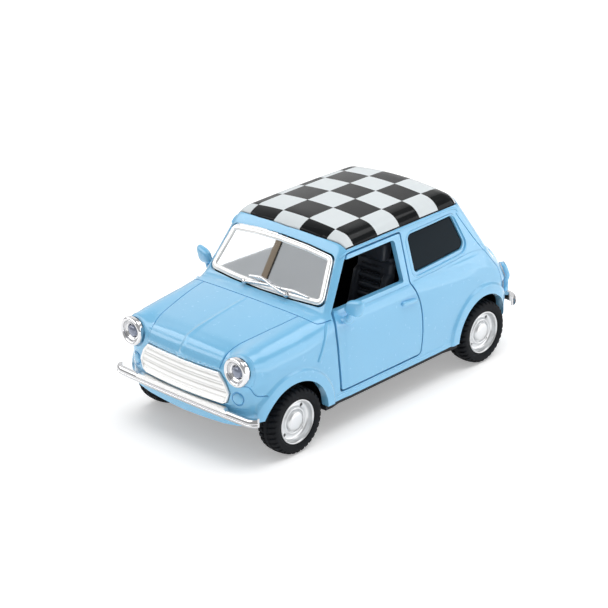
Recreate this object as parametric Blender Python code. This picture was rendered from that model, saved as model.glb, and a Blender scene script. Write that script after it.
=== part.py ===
"""Pull back toy saloon, about 1:32: die-cast body, opening doors, plastic base and a wind-up motor.

The frame is in metres: +Z up, nose towards -Y, the car's left side towards +X. The origin is on
the ground, half way along the overall length. Dimensions below are in millimetres. Positions are
written (x, v, z), where v is measured rearwards from the front axle.
"""
from math import atan2, cos, pi, radians, sin, tau

import bmesh
import bpy
import numpy as np
from mathutils import Matrix, Vector

MM = 0.001
GAP = 0.35                  # clearance between neighbouring pieces
WALL = 1.3                  # thickness of the die-cast shell
BUMPER_FRONT_V = -14.8      # foremost face of the car
BUMPER_REAR_V = 80.8        # rearmost face of the car
ORIGIN_V = (BUMPER_FRONT_V + BUMPER_REAR_V) / 2
WHEELBASE = 63.6
AXLE_Z = 7.8
TYRE_RADIUS = 7.8
WHEEL_X = 19.6              # middle of each wheel
AXLE_RADIUS = 1.0
BORE_RADIUS = 1.35          # running hole round an axle
ARCH_RADIUS = 9.3
SILL_Z = 7.4                # lower edge of the shell
FLOOR_Z = 3.6               # underside of the base
HINGE_X, HINGE_V = 20.2, 17.9
PIN_RADIUS = 0.6
POST_V = (-7.0, 72.5)       # screw posts under the bonnet and the boot
SCREEN_BASE = (10.95, 29.0)     # (v, z) of the windscreen plane on the centre line
SCREEN_RUN, SCREEN_RISE = 0.571, 0.821
TAILGATE_BASE = (69.5, 29.5)
TAILGATE_RUN, TAILGATE_RISE = -0.537, 0.844

# Motor: the axle pinion drives a compound idler, and the idler drives the winding wheel.
MODULE = 0.45
PINION_TEETH, IDLER_TEETH, WINDING_TEETH = 10, 24, 26
IDLER_CENTRE = (59.21, 14.07)
WINDING_CENTRE = (51.15, 13.3)
SPLIT_X = -1.0              # joint between the two halves of the motor case

scene_objects = list(bpy.data.objects)
for old in scene_objects:
    bpy.data.objects.remove(old)


# ---------------------------------------------------------------- frame and materials

def place(points):
    """Millimetre (x, v, z) points to metres in the object's frame."""
    return (np.asarray(points, float) - [0.0, ORIGIN_V, 0.0]) * MM


def material(name, colour, roughness, metallic=0.0):
    made = bpy.data.materials.new(name)
    made.use_nodes = True
    shader = made.node_tree.nodes["Principled BSDF"]
    shader.inputs["Base Color"].default_value = (*colour, 1.0)
    shader.inputs["Roughness"].default_value = roughness
    shader.inputs["Metallic"].default_value = metallic
    return made


PAINT = material("sky_blue_paint", (0.27, 0.60, 0.86), 0.18)
CHROME = material("chrome", (0.85, 0.85, 0.86), 0.08, 1.0)
SILVER = material("silver_paint", (0.62, 0.63, 0.64), 0.30, 0.8)
STEEL = material("steel", (0.55, 0.55, 0.56), 0.30, 1.0)
BLACK = material("black_plastic", (0.012, 0.013, 0.015), 0.45)
RUBBER = material("tyre_rubber", (0.018, 0.018, 0.020), 0.75)
SMOKED = material("smoked_glass", (0.02, 0.03, 0.04), 0.06)
MIRRORED = material("mirrored_glass", (0.55, 0.57, 0.60), 0.06, 0.6)
CLEAR = material("clear_lens", (0.80, 0.84, 0.88), 0.04)
CHEQUER = material("chequer_roof", (0.80, 0.85, 0.86), 0.12)
NYLON = material("white_nylon", (0.85, 0.85, 0.82), 0.40)


# ---------------------------------------------------------------- mesh helpers

def mesh_object(name, points, faces, finish=None):
    """A named object from millimetre points, faces pointing out and smooth below 35 degrees."""
    mesh = bpy.data.meshes.new(name)
    mesh.from_pydata([tuple(p) for p in place(points)], [], [tuple(f) for f in faces])
    work = bmesh.new()
    work.from_mesh(mesh)
    bmesh.ops.remove_doubles(work, verts=work.verts, dist=1e-7)
    bmesh.ops.dissolve_degenerate(work, edges=work.edges, dist=1e-8)
    bmesh.ops.recalc_face_normals(work, faces=work.faces)
    work.to_mesh(mesh)
    work.free()
    mesh.shade_smooth()
    mesh.set_sharp_from_angle(angle=radians(35))
    made = bpy.data.objects.new(name, mesh)
    bpy.context.collection.objects.link(made)
    if finish is None:
        made.display_type = "WIRE"
        made.hide_render = True
    else:
        mesh.materials.append(finish)
    return made


def boolean(target, tool, operation="DIFFERENCE", solver="EXACT"):
    step = target.modifiers.new(operation.title(), "BOOLEAN")
    step.object = tool
    step.operation = operation
    step.solver = solver
    return target


def bevel(target, width, segments=1):
    step = target.modifiers.new("Bevel", "BEVEL")
    step.width = width * MM
    step.segments = segments
    step.limit_method = "ANGLE"
    step.angle_limit = radians(50)
    return target


def prism(name, outline, depth, frame, finish=None):
    """A closed prism on a 2-D outline. frame maps (a, b, along) to (x, v, z)."""
    near, far = depth
    points = [frame(a, b, near) for a, b in outline]
    points += [frame(a, b, far) for a, b in outline]
    count = len(outline)
    faces = [(i, (i + 1) % count, (i + 1) % count + count, i + count) for i in range(count)]
    faces += [tuple(range(count)), tuple(range(count, 2 * count))]
    return mesh_object(name, points, faces, finish)


def across(a, b, along):
    """Outline in (v, z), depth along x."""
    return (along, a, b)


def lengthways(a, b, along):
    """Outline in (x, z), depth along v."""
    return (a, along, b)


def upright(a, b, along):
    """Outline in (x, v), depth along z."""
    return (a, b, along)


def on_screen(a, b, along):
    """Outline in (x, distance up the windscreen), depth along the windscreen's normal."""
    v, z = SCREEN_BASE
    return (a, v + b * SCREEN_RUN - along * SCREEN_RISE, z + b * SCREEN_RISE + along * SCREEN_RUN)


def on_tailgate(a, b, along):
    """Outline in (x, distance up the rear window), depth along the rear window's normal."""
    v, z = TAILGATE_BASE
    return (a, v + b * TAILGATE_RUN + along * TAILGATE_RISE,
            z + b * TAILGATE_RISE - along * TAILGATE_RUN)


def box(name, x, v, z, finish=None):
    outline = [(v[0], z[0]), (v[1], z[0]), (v[1], z[1]), (v[0], z[1])]
    return prism(name, outline, x, across, finish)


def circle(radius, sides, centre=(0.0, 0.0), phase=0.0):
    angles = [phase + tau * k / sides for k in range(sides)]
    return [(centre[0] + radius * cos(t), centre[1] + radius * sin(t)) for t in angles]


def rounded(corners, radius, steps=3):
    """A polygon with each corner replaced by an arc. radius may be a list, one for each corner."""
    outline = []
    count = len(corners)
    radii = radius if isinstance(radius, (list, tuple)) else [radius] * count
    for k, corner in enumerate(corners):
        here = Vector(corner)
        back = (Vector(corners[k - 1]) - here).normalized()
        ahead = (Vector(corners[(k + 1) % count]) - here).normalized()
        half = back.angle(ahead) / 2
        if radii[k] == 0 or half > radians(88):
            outline.append(tuple(here))
            continue
        reach = radii[k] / np.tan(half)
        middle = here + (back + ahead).normalized() * radii[k] / sin(half)
        start = here + back * reach - middle
        end = here + ahead * reach - middle
        for step in range(steps + 1):
            spoke = start.lerp(end, step / steps).normalized() * radii[k]
            outline.append(tuple(middle + spoke))
    return outline


def grown(outline, distance):
    """The outline moved outwards by a distance, or inwards where it is negative."""
    area = sum(p[0] * q[1] - q[0] * p[1] for p, q in zip(outline, outline[1:] + outline[:1]))
    side = 1.0 if area > 0 else -1.0
    result = []
    count = len(outline)
    for k, corner in enumerate(outline):
        here = Vector(corner)
        back = (here - Vector(outline[k - 1])).normalized()
        ahead = (Vector(outline[(k + 1) % count]) - here).normalized()
        normal = Vector((back.y + ahead.y, -back.x - ahead.x)).normalized() * side
        square = Vector((back.y, -back.x)) * side
        result.append(tuple(here + normal * distance / max(normal.dot(square), 0.4)))
    return result


def turned(name, profile, sides, frame, finish=None, phase=0.0):
    """A closed (along, radius) profile spun round an axis. frame maps (a, b, along) to (x, v, z)."""
    points = []
    for k in range(sides):
        turn = phase + tau * k / sides
        points += [frame(r * cos(turn), r * sin(turn), along) for along, r in profile]
    count = len(profile)
    faces = []
    for k in range(sides):
        for i in range(count):
            j = (i + 1) % count
            ring, following = k * count, (k + 1) % sides * count
            faces.append((ring + i, ring + j, following + j, following + i))
    return mesh_object(name, points, faces, finish)


def bar_along(name, path, section, finish=None):
    """A closed bar: the (outward, up) section swept along a level (x, v) path."""
    points = []
    for k, (x, v) in enumerate(path):
        x0, v0 = path[max(k - 1, 0)]
        x1, v1 = path[min(k + 1, len(path) - 1)]
        run = Vector((x1 - x0, v1 - v0)).normalized()
        points += [(x + run.y * out, v - run.x * out, z) for out, z in section]
    count = len(section)
    faces = []
    for k in range(len(path) - 1):
        for i in range(count):
            j = (i + 1) % count
            faces.append((k * count + i, k * count + j, (k + 1) * count + j, (k + 1) * count + i))
    faces += [tuple(range(count)), tuple(range(len(points) - count, len(points)))]
    return mesh_object(name, points, faces, finish)


# ---------------------------------------------------------------- the body's outer surface
# body(x, v, z) is negative inside the car and zero on its outer skin.

def smooth_max(a, b, radius, power=2.3):
    """The larger of two distances, with the edge between them rounded to a radius."""
    u = np.maximum(radius + a, 0.0)
    w = np.maximum(radius + b, 0.0)
    return np.minimum(-radius, np.maximum(a, b)) + (u ** power + w ** power) ** (1 / power)


def smooth_min(a, b, radius):
    return -smooth_max(-a, -b, radius)


def above(t):
    return np.maximum(t, 0.0)


def side_half_width(v, z):
    """Half width of the lower body: widest at z 17, narrower to the nose, tail, roof and sill."""
    plan = 22.0 - 0.0034 * above(12 - v) ** 1.9 - 0.0022 * above(v - 45) ** 1.9
    lean = np.interp(v, [-2, 14], [0.35, 1.0])
    return plan - 0.0072 * lean * above(z - 17) ** 2.2 - 0.004 * above(17 - z) ** 2


def lower_body(x, v, z):
    """Bonnet, wings, sides and boot."""
    side = x - side_half_width(v, z)
    bonnet = 29.3 + 0.10 * (v - 10) - 0.0026 * (v - 10) ** 2
    waist = 29.3 + 0.02 * (v - 10) - 0.0006 * (v - 10) ** 2
    top = z - (np.where(v < 10, bonnet, waist) - 0.0030 * x ** 2)
    nose = -13.5 + 0.0048 * x ** 2 + 0.012 * above(z - 17) ** 2 + 0.01 * above(13 - z) ** 2 - v
    tail = v - (77.7 - 0.0062 * x ** 2 - 0.008 * above(14 - z) ** 2)
    shape = smooth_max(side, nose, 5.0)
    shape = smooth_max(shape, tail, 5.5)
    shoulder = np.interp(v, [-14, -6, 4, 14, 40, 60, 70], [4.2, 5.2, 5.2, 2.8, 2.8, 5, 10.5])
    return smooth_max(shape, top, shoulder)


def wing_tube(x, v, z):
    """The rounded ridge of a front wing, which ends in the headlight's nacelle."""
    t = np.clip((v + 11) / 26.0, 0, 1)
    centre_x = 16.5 + 0.1 * t
    centre_z = 22.4 + 1.5 * t - 0.9 * t ** 4
    tube = np.sqrt((x - centre_x) ** 2 + (z - centre_z) ** 2) - 3.7
    return smooth_max(tube, np.abs(v - 1.2) - 12.8, 1.4)


def cabin(x, v, z):
    """Windscreen, cabin sides, rear window and roof."""
    half = 20.15 - 0.231 * (z - 28.8) - 0.0004 * above(35 - v) ** 2 - 0.0014 * above(v - 42) ** 2
    side = (x - np.minimum(half, 20.6)) * 0.974
    screen = (10.95 + 0.0041 * x ** 2 + 0.695 * (z - 29) - v) * 0.821
    rear = (v - (69.5 - 0.0048 * x ** 2 - 0.636 * (z - 29.5))) * 0.844
    roof = z - (44.3 - 0.0043 * x ** 2 - 0.0006 * (v - 41) ** 2)
    shape = smooth_max(side, screen, 2.2)
    shape = smooth_max(shape, rear, 2.9)
    shape = smooth_max(shape, roof, 3.3)
    return smooth_max(shape, 18 - z, 0.5)


def body(x, v, z):
    x = np.abs(x)
    shape = smooth_min(lower_body(x, v, z), wing_tube(x, v, z), 1.8)
    return smooth_min(shape, cabin(x, v, z), 1.0)


def project(starts, rays, reach=60.0):
    """Where rays that start inside the body cross its skin, by halving the interval."""
    near = np.zeros(starts.shape[:-1])
    far = np.full(starts.shape[:-1], reach)
    for _ in range(40):
        middle = (near + far) / 2
        p = starts + rays * middle[..., None]
        inside = body(p[..., 0], p[..., 1], p[..., 2]) < 0
        near = np.where(inside, middle, near)
        far = np.where(inside, far, middle)
    return starts + rays * near[..., None]


def skin_normals(points, step=0.05):
    slope = np.zeros_like(points)
    for axis in range(3):
        shift = np.zeros(3)
        shift[axis] = step
        a, b = points + shift, points - shift
        slope[..., axis] = body(a[..., 0], a[..., 1], a[..., 2]) - body(b[..., 0], b[..., 1], b[..., 2])
    return slope / np.linalg.norm(slope, axis=-1, keepdims=True)


def grid_faces(rows, columns, start=0):
    return [(start + i * columns + j, start + i * columns + j + 1,
             start + (i + 1) * columns + j + 1, start + (i + 1) * columns + j)
            for i in range(rows - 1) for j in range(columns - 1)]


def slab(name, starts, rays, outer, inner, finish=None):
    """A plate that follows the skin: its faces lie outer and inner millimetres outside the skin."""
    surface = project(starts, rays)
    normals = skin_normals(surface)
    rows, columns = surface.shape[:2]
    count = rows * columns
    points = np.concatenate([(surface + normals * outer).reshape(-1, 3),
                             (surface + normals * inner).reshape(-1, 3)])
    faces = grid_faces(rows, columns) + grid_faces(rows, columns, count)
    rim = [j for j in range(columns)]
    rim += [i * columns + columns - 1 for i in range(1, rows)]
    rim += [(rows - 1) * columns + j for j in range(columns - 2, -1, -1)]
    rim += [i * columns for i in range(rows - 2, 0, -1)]
    faces += [(a, b, b + count, a + count) for a, b in zip(rim, rim[1:] + rim[:1])]
    return mesh_object(name, points, faces, finish)


def sheet_rays(frame, a_values, b_values, start, direction):
    """Start points on a frame's plane and one direction for all of them."""
    starts = np.array([[frame(a, b, start) for a in a_values] for b in b_values])
    origin = np.array(frame(0, 0, 0))
    ray = np.array(frame(0, 0, direction)) - origin
    return starts, np.broadcast_to(ray / np.linalg.norm(ray), starts.shape)


# ---------------------------------------------------------------- the die-cast shell

NOSE_TURN = [90, 76, 63, 51, 40, 24]
TAIL_TURN = [-15, -32, -50, -70, -90]
NOSE_V, TAIL_V = -4.0, 66.0
MIDDLE_V = [-4, 2, 7.4, 10.6, 12.8, 15.4, 18.2, 20.4, 22.4, 26, 36, 46, 54, 57.5, 60.2, 62.8, 66]
SIDE_Z = [SILL_Z, 10.5, 14.0]
BELT_Z = 18.0               # the shell is projected level below this height and in a fan above it
FAN = [0, 14, 24, 32, 40, 46, 52, 58, 64, 76, 90]


def shell_rays():
    """Rays from inside the car to its skin, one row for each station from nose to tail."""
    stations = [(NOSE_V, radians(t)) for t in NOSE_TURN] + [(v, 0.0) for v in MIDDLE_V]
    stations += [(TAIL_V, radians(t)) for t in TAIL_TURN]
    starts, rays = [], []
    for v, turn in stations:
        level = [((13 * cos(turn), v, z), (cos(turn), -sin(turn), 0.0)) for z in SIDE_Z]
        fan = []
        for lift in (radians(t) for t in FAN):
            start = (13 * cos(lift) * cos(turn), v, BELT_Z + 5 * sin(lift) * cos(turn))
            fan.append((start, (cos(turn) * cos(lift), -sin(turn), cos(turn) * sin(lift))))
        starts.append([s for s, _ in level + fan])
        rays.append([r for _, r in level + fan])
    return np.array(starts, float), np.array(rays, float)


def shell_blank(name, finish=None):
    """The whole shell before its openings are cut: outer skin, inner skin and a level rim."""
    outer = project(*shell_rays())
    inward = -skin_normals(outer)
    inward[:, 0, 2] = 0.0
    inner = outer + inward * WALL
    rows, columns = outer.shape[:2]
    count = rows * columns
    mirror = np.array([-1.0, 1.0, 1.0])
    points, faces = [], []
    for flip in (np.ones(3), mirror):
        base = len(points)
        points += list((outer * flip).reshape(-1, 3)) + list((inner * flip).reshape(-1, 3))
        faces += grid_faces(rows, columns, base) + grid_faces(rows, columns, base + count)
        for i in range(rows - 1):
            a, b = base + i * columns, base + (i + 1) * columns
            faces.append((a, b, b + count, a + count))
    return mesh_object(name, points, faces, finish)


DOOR_OUTLINE = rounded(
    [(14.0, 9.75), (41.4, 9.75), (41.9, 14.0), (41.6, 20.0), (40.6, 24.6), (39.0, 28.0), (38.7, 39.9),
     (21.3, 39.9), (20.2, 38.4), (13.6, 28.6), (13.0, 20.0)],
    [0.9, 1.6, 0, 0, 0, 0, 0.9, 0.7, 0, 0.7, 0], 2)
DOOR_WINDOW = rounded([(12.5, 29.0), (38.0, 28.6), (36.9, 38.4), (19.5, 38.4), (14.5, 36.0)],
                      [0, 0.8, 0.9, 0, 0], 2)
QUARTER_WINDOW = rounded([(41.8, 29.6), (60.0, 30.2), (56.8, 38.2), (41.4, 38.1)], [0.7, 1.4, 1.1, 1.1], 2)
ROOF_PLAN = rounded([(-17.9, 23.0), (-9.0, 20.9), (0.0, 20.4), (9.0, 20.9), (17.9, 23.0), (17.9, 59.6),
                     (9.0, 60.4), (0.0, 60.6), (-9.0, 60.4), (-17.9, 59.6)],
                    [2.2, 0, 0, 0, 2.2, 2.2, 0, 0, 0, 2.2], 2)
ROOF_EDGE = 57.5            # degrees from upright at which the roof panel ends, seen from its axis
ROOF_AXIS_Z = 30.0
SCREEN_CORNERS = [(-18.0, 1.83), (-9.0, 1.13), (0.0, 0.9), (9.0, 1.13), (18.0, 1.83),
                  (15.7, 13.0), (8.0, 13.65), (0.0, 13.87), (-8.0, 13.65), (-15.7, 13.0)]
SCREEN_BORDER = 1.5
REAR_WINDOW = rounded([(-14.0, 2.2), (14.0, 2.2), (12.3, 11.6), (-12.3, 11.6)], 1.6, 2)
GRILLE_OUTLINE = [(-12.3, 13.9), (12.3, 13.9), (13.4, 14.5), (14.2, 16.7), (13.0, 19.3), (11.4, 21.1),
                  (-11.4, 21.1), (-13.0, 19.3), (-14.2, 16.7), (-13.4, 14.5)]
HEADLIGHT = (16.7, 22.6)
LAMP_TURN = radians(27)     # the tail lamps face this far round the rear corners


def screen_outline(change):
    """The windscreen frame's outline, grown by a distance, with rounded corners."""
    return rounded(grown(SCREEN_CORNERS, change), [1.2, 0, 0, 0, 1.2, 1.3, 0, 0, 0, 1.3], 2)


def roof_rays(edge):
    turns = np.radians(np.linspace(-edge, edge, 13))
    stations = [19.5, 21.0, 22.5, 25.0, 34.0, 44.0, 53.0, 57.0, 59.2, 60.6, 62.0]
    starts = np.array([[(0.0, v, ROOF_AXIS_Z)] * len(turns) for v in stations])
    rays = np.array([[(sin(t), 0.0, cos(t)) for t in turns]] * len(stations))
    return starts, rays


def screw_post(name, v, radius):
    """A post hanging from the skin down to the base, its top buried in the shell."""
    ring = circle(radius, 12, (0.0, v))
    plan = np.array([[(a, b, 15.0) for a, b in ring + [(0.0, v)]]])
    top = project(plan, np.broadcast_to(np.array([0.0, 0.0, 1.0]), plan.shape))[0]
    top[:, 2] -= WALL * 0.6
    count = len(ring)
    points = [(a, b, SILL_Z) for a, b in ring] + [tuple(p) for p in top]
    faces = [(i, (i + 1) % count, (i + 1) % count + count, i + count) for i in range(count)]
    faces += [tuple(range(count))]
    faces += [(i + count, (i + 1) % count + count, 2 * count) for i in range(count)]
    return mesh_object(name, points, faces)


def make_body_shell():
    shell = shell_blank("body_shell", PAINT)
    for label, v, radius in (("front", POST_V[0], 2.2), ("rear", POST_V[1], 1.9)):
        boolean(shell, screw_post(f"{label}_post", v, radius), "UNION")
        boolean(shell, prism(f"{label}_post_hole", circle(1.1, 10, (0.0, v)), (6.0, 15.0), upright))
    for label, depth in (("left", (12.0, 30.0)), ("right", (-30.0, -12.0))):
        side = 1.0 if label == "left" else -1.0
        boolean(shell, prism(f"{label}_door_hole", DOOR_OUTLINE, depth, across))
        boolean(shell, prism(f"{label}_quarter_hole", grown(QUARTER_WINDOW, GAP), depth, across))
        notch = circle(PIN_RADIUS + GAP, 12, (side * HINGE_X, HINGE_V))
        boolean(shell, prism(f"{label}_hinge_notch", notch, (6.5, 11.0), upright))
        hole = circle(2.65, 16, (side * HEADLIGHT[0], HEADLIGHT[1]))
        boolean(shell, prism(f"{label}_headlight_hole", hole, (-16.0, -8.5), lengthways))
        seat = circle(3.65, 16, (side * HEADLIGHT[0], HEADLIGHT[1]))
        boolean(shell, prism(f"{label}_headlight_seat", seat, (-16.0, -12.05), lengthways))
        for axle, v in (("front", 0.0), ("rear", WHEELBASE)):
            arch = circle(ARCH_RADIUS, 28, (v, AXLE_Z))
            boolean(shell, prism(f"{label}_{axle}_arch", arch, (side * 10, side * 30), across))
    boolean(shell, prism("screen_hole", screen_outline(GAP), (-8.0, 8.0), on_screen))
    boolean(shell, prism("rear_window_hole", grown(REAR_WINDOW, GAP), (-8.0, 8.0), on_tailgate))
    boolean(shell, prism("grille_hole", grown(GRILLE_OUTLINE, GAP), (-16.0, -9.5), lengthways))
    recess = slab("roof_recess", *roof_rays(ROOF_EDGE + 1.2), 2.5, -0.85)
    boolean(recess, prism("roof_recess_plan", grown(ROOF_PLAN, GAP), (36.0, 50.0), upright), "INTERSECT")
    boolean(shell, recess, solver="MANIFOLD")
    return shell


def make_roof_panel():
    panel = slab("roof_panel", *roof_rays(ROOF_EDGE), 0.0, -0.5, CHEQUER)
    return boolean(panel, prism("roof_plan", ROOF_PLAN, (36.0, 50.0), upright), "INTERSECT")


def make_glazing():
    columns = [-18.6, -17.2, -14.5, -8.0, 0.0, 8.0, 14.5, 17.2, 18.6]
    rays = sheet_rays(on_screen, columns, [0.3, 1.6, 7.0, 12.6, 14.4], -6.0, 1.0)
    frame = slab("windscreen_frame", *rays, 0.25, -1.0, CHROME)
    boolean(frame, prism("frame_outline", screen_outline(0.0), (-8.0, 8.0), on_screen), "INTERSECT")
    inside = screen_outline(-SCREEN_BORDER)
    boolean(frame, prism("frame_inside", inside, (-8.0, 8.0), on_screen))
    glass = slab("windscreen_glass", *rays, -0.1, -0.9, MIRRORED)
    pane = prism("screen_pane", screen_outline(-SCREEN_BORDER - 0.3), (-8.0, 8.0), on_screen)
    boolean(glass, pane, "INTERSECT")

    rays = sheet_rays(on_tailgate, np.linspace(-16, 16, 9), np.linspace(0, 13, 3), -6.0, 1.0)
    rear = slab("rear_glass", *rays, -0.4, -1.2, SMOKED)
    boolean(rear, prism("rear_pane", REAR_WINDOW, (-8.0, 8.0), on_tailgate), "INTERSECT")

    for label, side in (("left", 1.0), ("right", -1.0)):
        rays = sheet_rays(across, np.linspace(40, 62, 4), np.linspace(28.8, 39.2, 3), side * 8, side)
        quarter = slab(f"quarter_glass_{label}", *rays, -0.45, -1.2, SMOKED)
        pane = prism(f"{label}_quarter_pane", QUARTER_WINDOW, (side * 10, side * 30), across)
        boolean(quarter, pane, "INTERSECT")


def make_wipers():
    """Each wiper is one moulded rod: a pivot, an arm and a blade that lies along the screen."""
    for label, side in (("left", 1.0), ("right", -1.0)):
        shift = 0.55 * (1 - side)
        route = [(side * 1.6, 1.2), (side * 4.4, 2.9), (side * 4.4 - 7.0 * side, 3.5)]
        depth = [0.9, 1.0 + shift, 1.0 + shift]
        starts = np.array([[on_screen(a, b, -6.0) for a, b in route]])
        rays = sheet_rays(on_screen, [0.0], [0.0], 0.0, 1.0)[1][0, 0]
        surface = project(starts, np.broadcast_to(rays, starts.shape))[0]
        points = place(surface + rays * np.array(depth)[:, None])
        data = bpy.data.curves.new(f"wiper_{label}", "CURVE")
        data.dimensions = "3D"
        data.bevel_depth = 0.3 * MM
        data.bevel_resolution = 1
        data.use_fill_caps = True
        spline = data.splines.new("POLY")
        spline.points.add(len(points) - 1)
        for target, point in zip(spline.points, points):
            target.co = (*point, 1.0)
        made = bpy.data.objects.new(f"wiper_{label}", data)
        bpy.context.collection.objects.link(made)
        data.materials.append(CHROME)


def make_grille():
    rays = sheet_rays(lengthways, np.linspace(-15, 15, 9), np.linspace(13.2, 21.8, 3), 0.0, -1.0)
    grille = slab("front_grille", *rays, 0.5, -1.3, CHROME)
    return boolean(grille, prism("grille_outline", GRILLE_OUTLINE, (-18.0, -9.0), lengthways), "INTERSECT")


def make_headlights():
    """A turned bezel whose spigot enters the shell, with the lens inside it."""
    bezel = [(-13.3, 2.2), (-13.5, 2.6), (-13.3, 3.1), (-12.4, 3.25), (-12.35, 2.3), (-9.5, 2.3),
             (-9.5, 1.2), (-12.2, 1.9)]
    lens = [(-13.2, 0.0), (-13.0, 1.2), (-12.6, 1.55), (-12.0, 1.55), (-11.0, 0.9), (-11.0, 0.0)]
    for label, side in (("left", 1.0), ("right", -1.0)):
        def frame(a, b, along, side=side):
            return (side * HEADLIGHT[0] + a, along, HEADLIGHT[1] + b)
        turned(f"headlight_bezel_{label}", bezel, 16, frame, CHROME)
        turned(f"headlight_lens_{label}", lens, 12, frame, CLEAR)


def bumper_path(reach, front, bow, corner):
    """A level (x, v) line, bowed outwards, whose ends turn in round a corner."""
    path = []
    for x in np.linspace(-reach, reach, 15):
        tuck = above(abs(x) - (reach - corner)) / corner
        path.append((x, front + bow * x ** 2 + (1 - np.sqrt(1 - min(tuck, 0.97) ** 2)) * corner * 0.8))
    return path


def make_bumpers():
    front_mid = BUMPER_FRONT_V + 0.5
    blade = [(0.5, 10.6), (0.5, 11.4), (0.2, 12.1), (-0.4, 12.1), (-0.5, 9.9), (0.2, 9.9)]
    path = bumper_path(21.6, front_mid, 0.0036, 2.6)
    front = bar_along("front_bumper", path, blade, CHROME)
    rays = sheet_rays(lengthways, np.linspace(-12.7, 12.7, 7), np.linspace(11.0, 13.6, 2), 0.0, -1.0)
    boolean(front, slab("bumper_tray", *rays, 0.95, 0.33), "UNION")
    rear_mid = BUMPER_REAR_V - 0.5
    path = [(-x, -v) for x, v in bumper_path(20.2, -rear_mid, 0.0036, 3.0)]
    bar_along("rear_bumper", path, blade, CHROME)


def make_tail_lamps():
    """Each lamp is a deep rounded plate on a rear corner."""
    for label, side in (("left", 1.0), ("right", -1.0)):
        def frame(a, b, along, side=side):
            x = 15.2 + a * cos(LAMP_TURN) + along * sin(LAMP_TURN)
            return (side * x, 70.0 - a * sin(LAMP_TURN) + along * cos(LAMP_TURN), b)
        rays = sheet_rays(frame, np.linspace(-3, 3, 5), np.linspace(12.5, 22.0, 5), -3.0, 1.0)
        lamp = slab(f"tail_lamp_{label}", *rays, 1.5, 0.35, PAINT)
        outline = rounded([(-1.7, 13.6), (1.7, 13.6), (1.7, 21.0), (-1.7, 21.0)], 1.2, 3)
        boolean(lamp, prism(f"{label}_lamp_outline", outline, (-4.0, 14.0), frame), "INTERSECT")


# ---------------------------------------------------------------- doors

def make_door(label, side):
    """A door with its window frame, a hinge rib and a pin, in one casting."""
    hinge = bpy.data.objects.new(f"{label}_door_hinge", None)
    hinge.location = place([side * HINGE_X, HINGE_V, 0.0])
    bpy.context.collection.objects.link(hinge)
    door = shell_blank(f"{label}_door", PAINT)
    depth = (side * 12.0, side * 30.0)
    boolean(door, prism(f"{label}_door_outline", grown(DOOR_OUTLINE, -0.4), depth, across), "INTERSECT")
    boolean(door, prism(f"{label}_door_window", DOOR_WINDOW, depth, across))
    rib_x = (side * 19.4, side * 21.0)
    for name, z in (("lower", (10.6, 18.2)), ("upper", (21.8, 24.0))):
        boolean(door, box(f"{label}_{name}_rib", rib_x, (16.9, 18.9), z), "UNION")
    pin = circle(PIN_RADIUS, 10, (side * HINGE_X, HINGE_V))
    boolean(door, prism(f"{label}_hinge_pin", pin, (7.9, 23.0), upright), "UNION")

    head = [(-2.1, 0.0), (-1.9, 0.55), (-1.0, 1.1), (0.3, 1.25), (1.5, 0.9), (2.1, 0.0)]

    def mirror_frame(a, b, along):
        return (side * (23.5 + along), 16.4 + a * 0.85, 30.1 + b * 1.3 - along * 0.1)

    mirror = turned(f"{label}_door_mirror", head, 12, mirror_frame, PAINT)
    stem = [Vector((side * 21.65, 17.3, 26.6)), Vector((side * 23.2, 16.6, 29.8))]
    along = (stem[1] - stem[0]).normalized()
    first = along.orthogonal().normalized()
    second = along.cross(first)
    points = []
    for end, radius in ((stem[0], 0.85), (stem[0].lerp(stem[1], 0.3), 0.5), (stem[1], 0.5)):
        for a, b in circle(radius, 8):
            points.append(tuple(end + first * a + second * b))
    faces = [(0, 1, 2, 3, 4, 5, 6, 7), (16, 17, 18, 19, 20, 21, 22, 23)]
    for ring in (0, 8):
        faces += [(ring + i, ring + (i + 1) % 8, ring + (i + 1) % 8 + 8, ring + i + 8) for i in range(8)]
    boolean(mirror, mesh_object(f"{label}_mirror_stem", points, faces), "UNION")
    for part in (door, mirror):
        part.parent = hinge
        part.matrix_parent_inverse = Matrix.Translation(hinge.location).inverted()


# ---------------------------------------------------------------- base and interior

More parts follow.
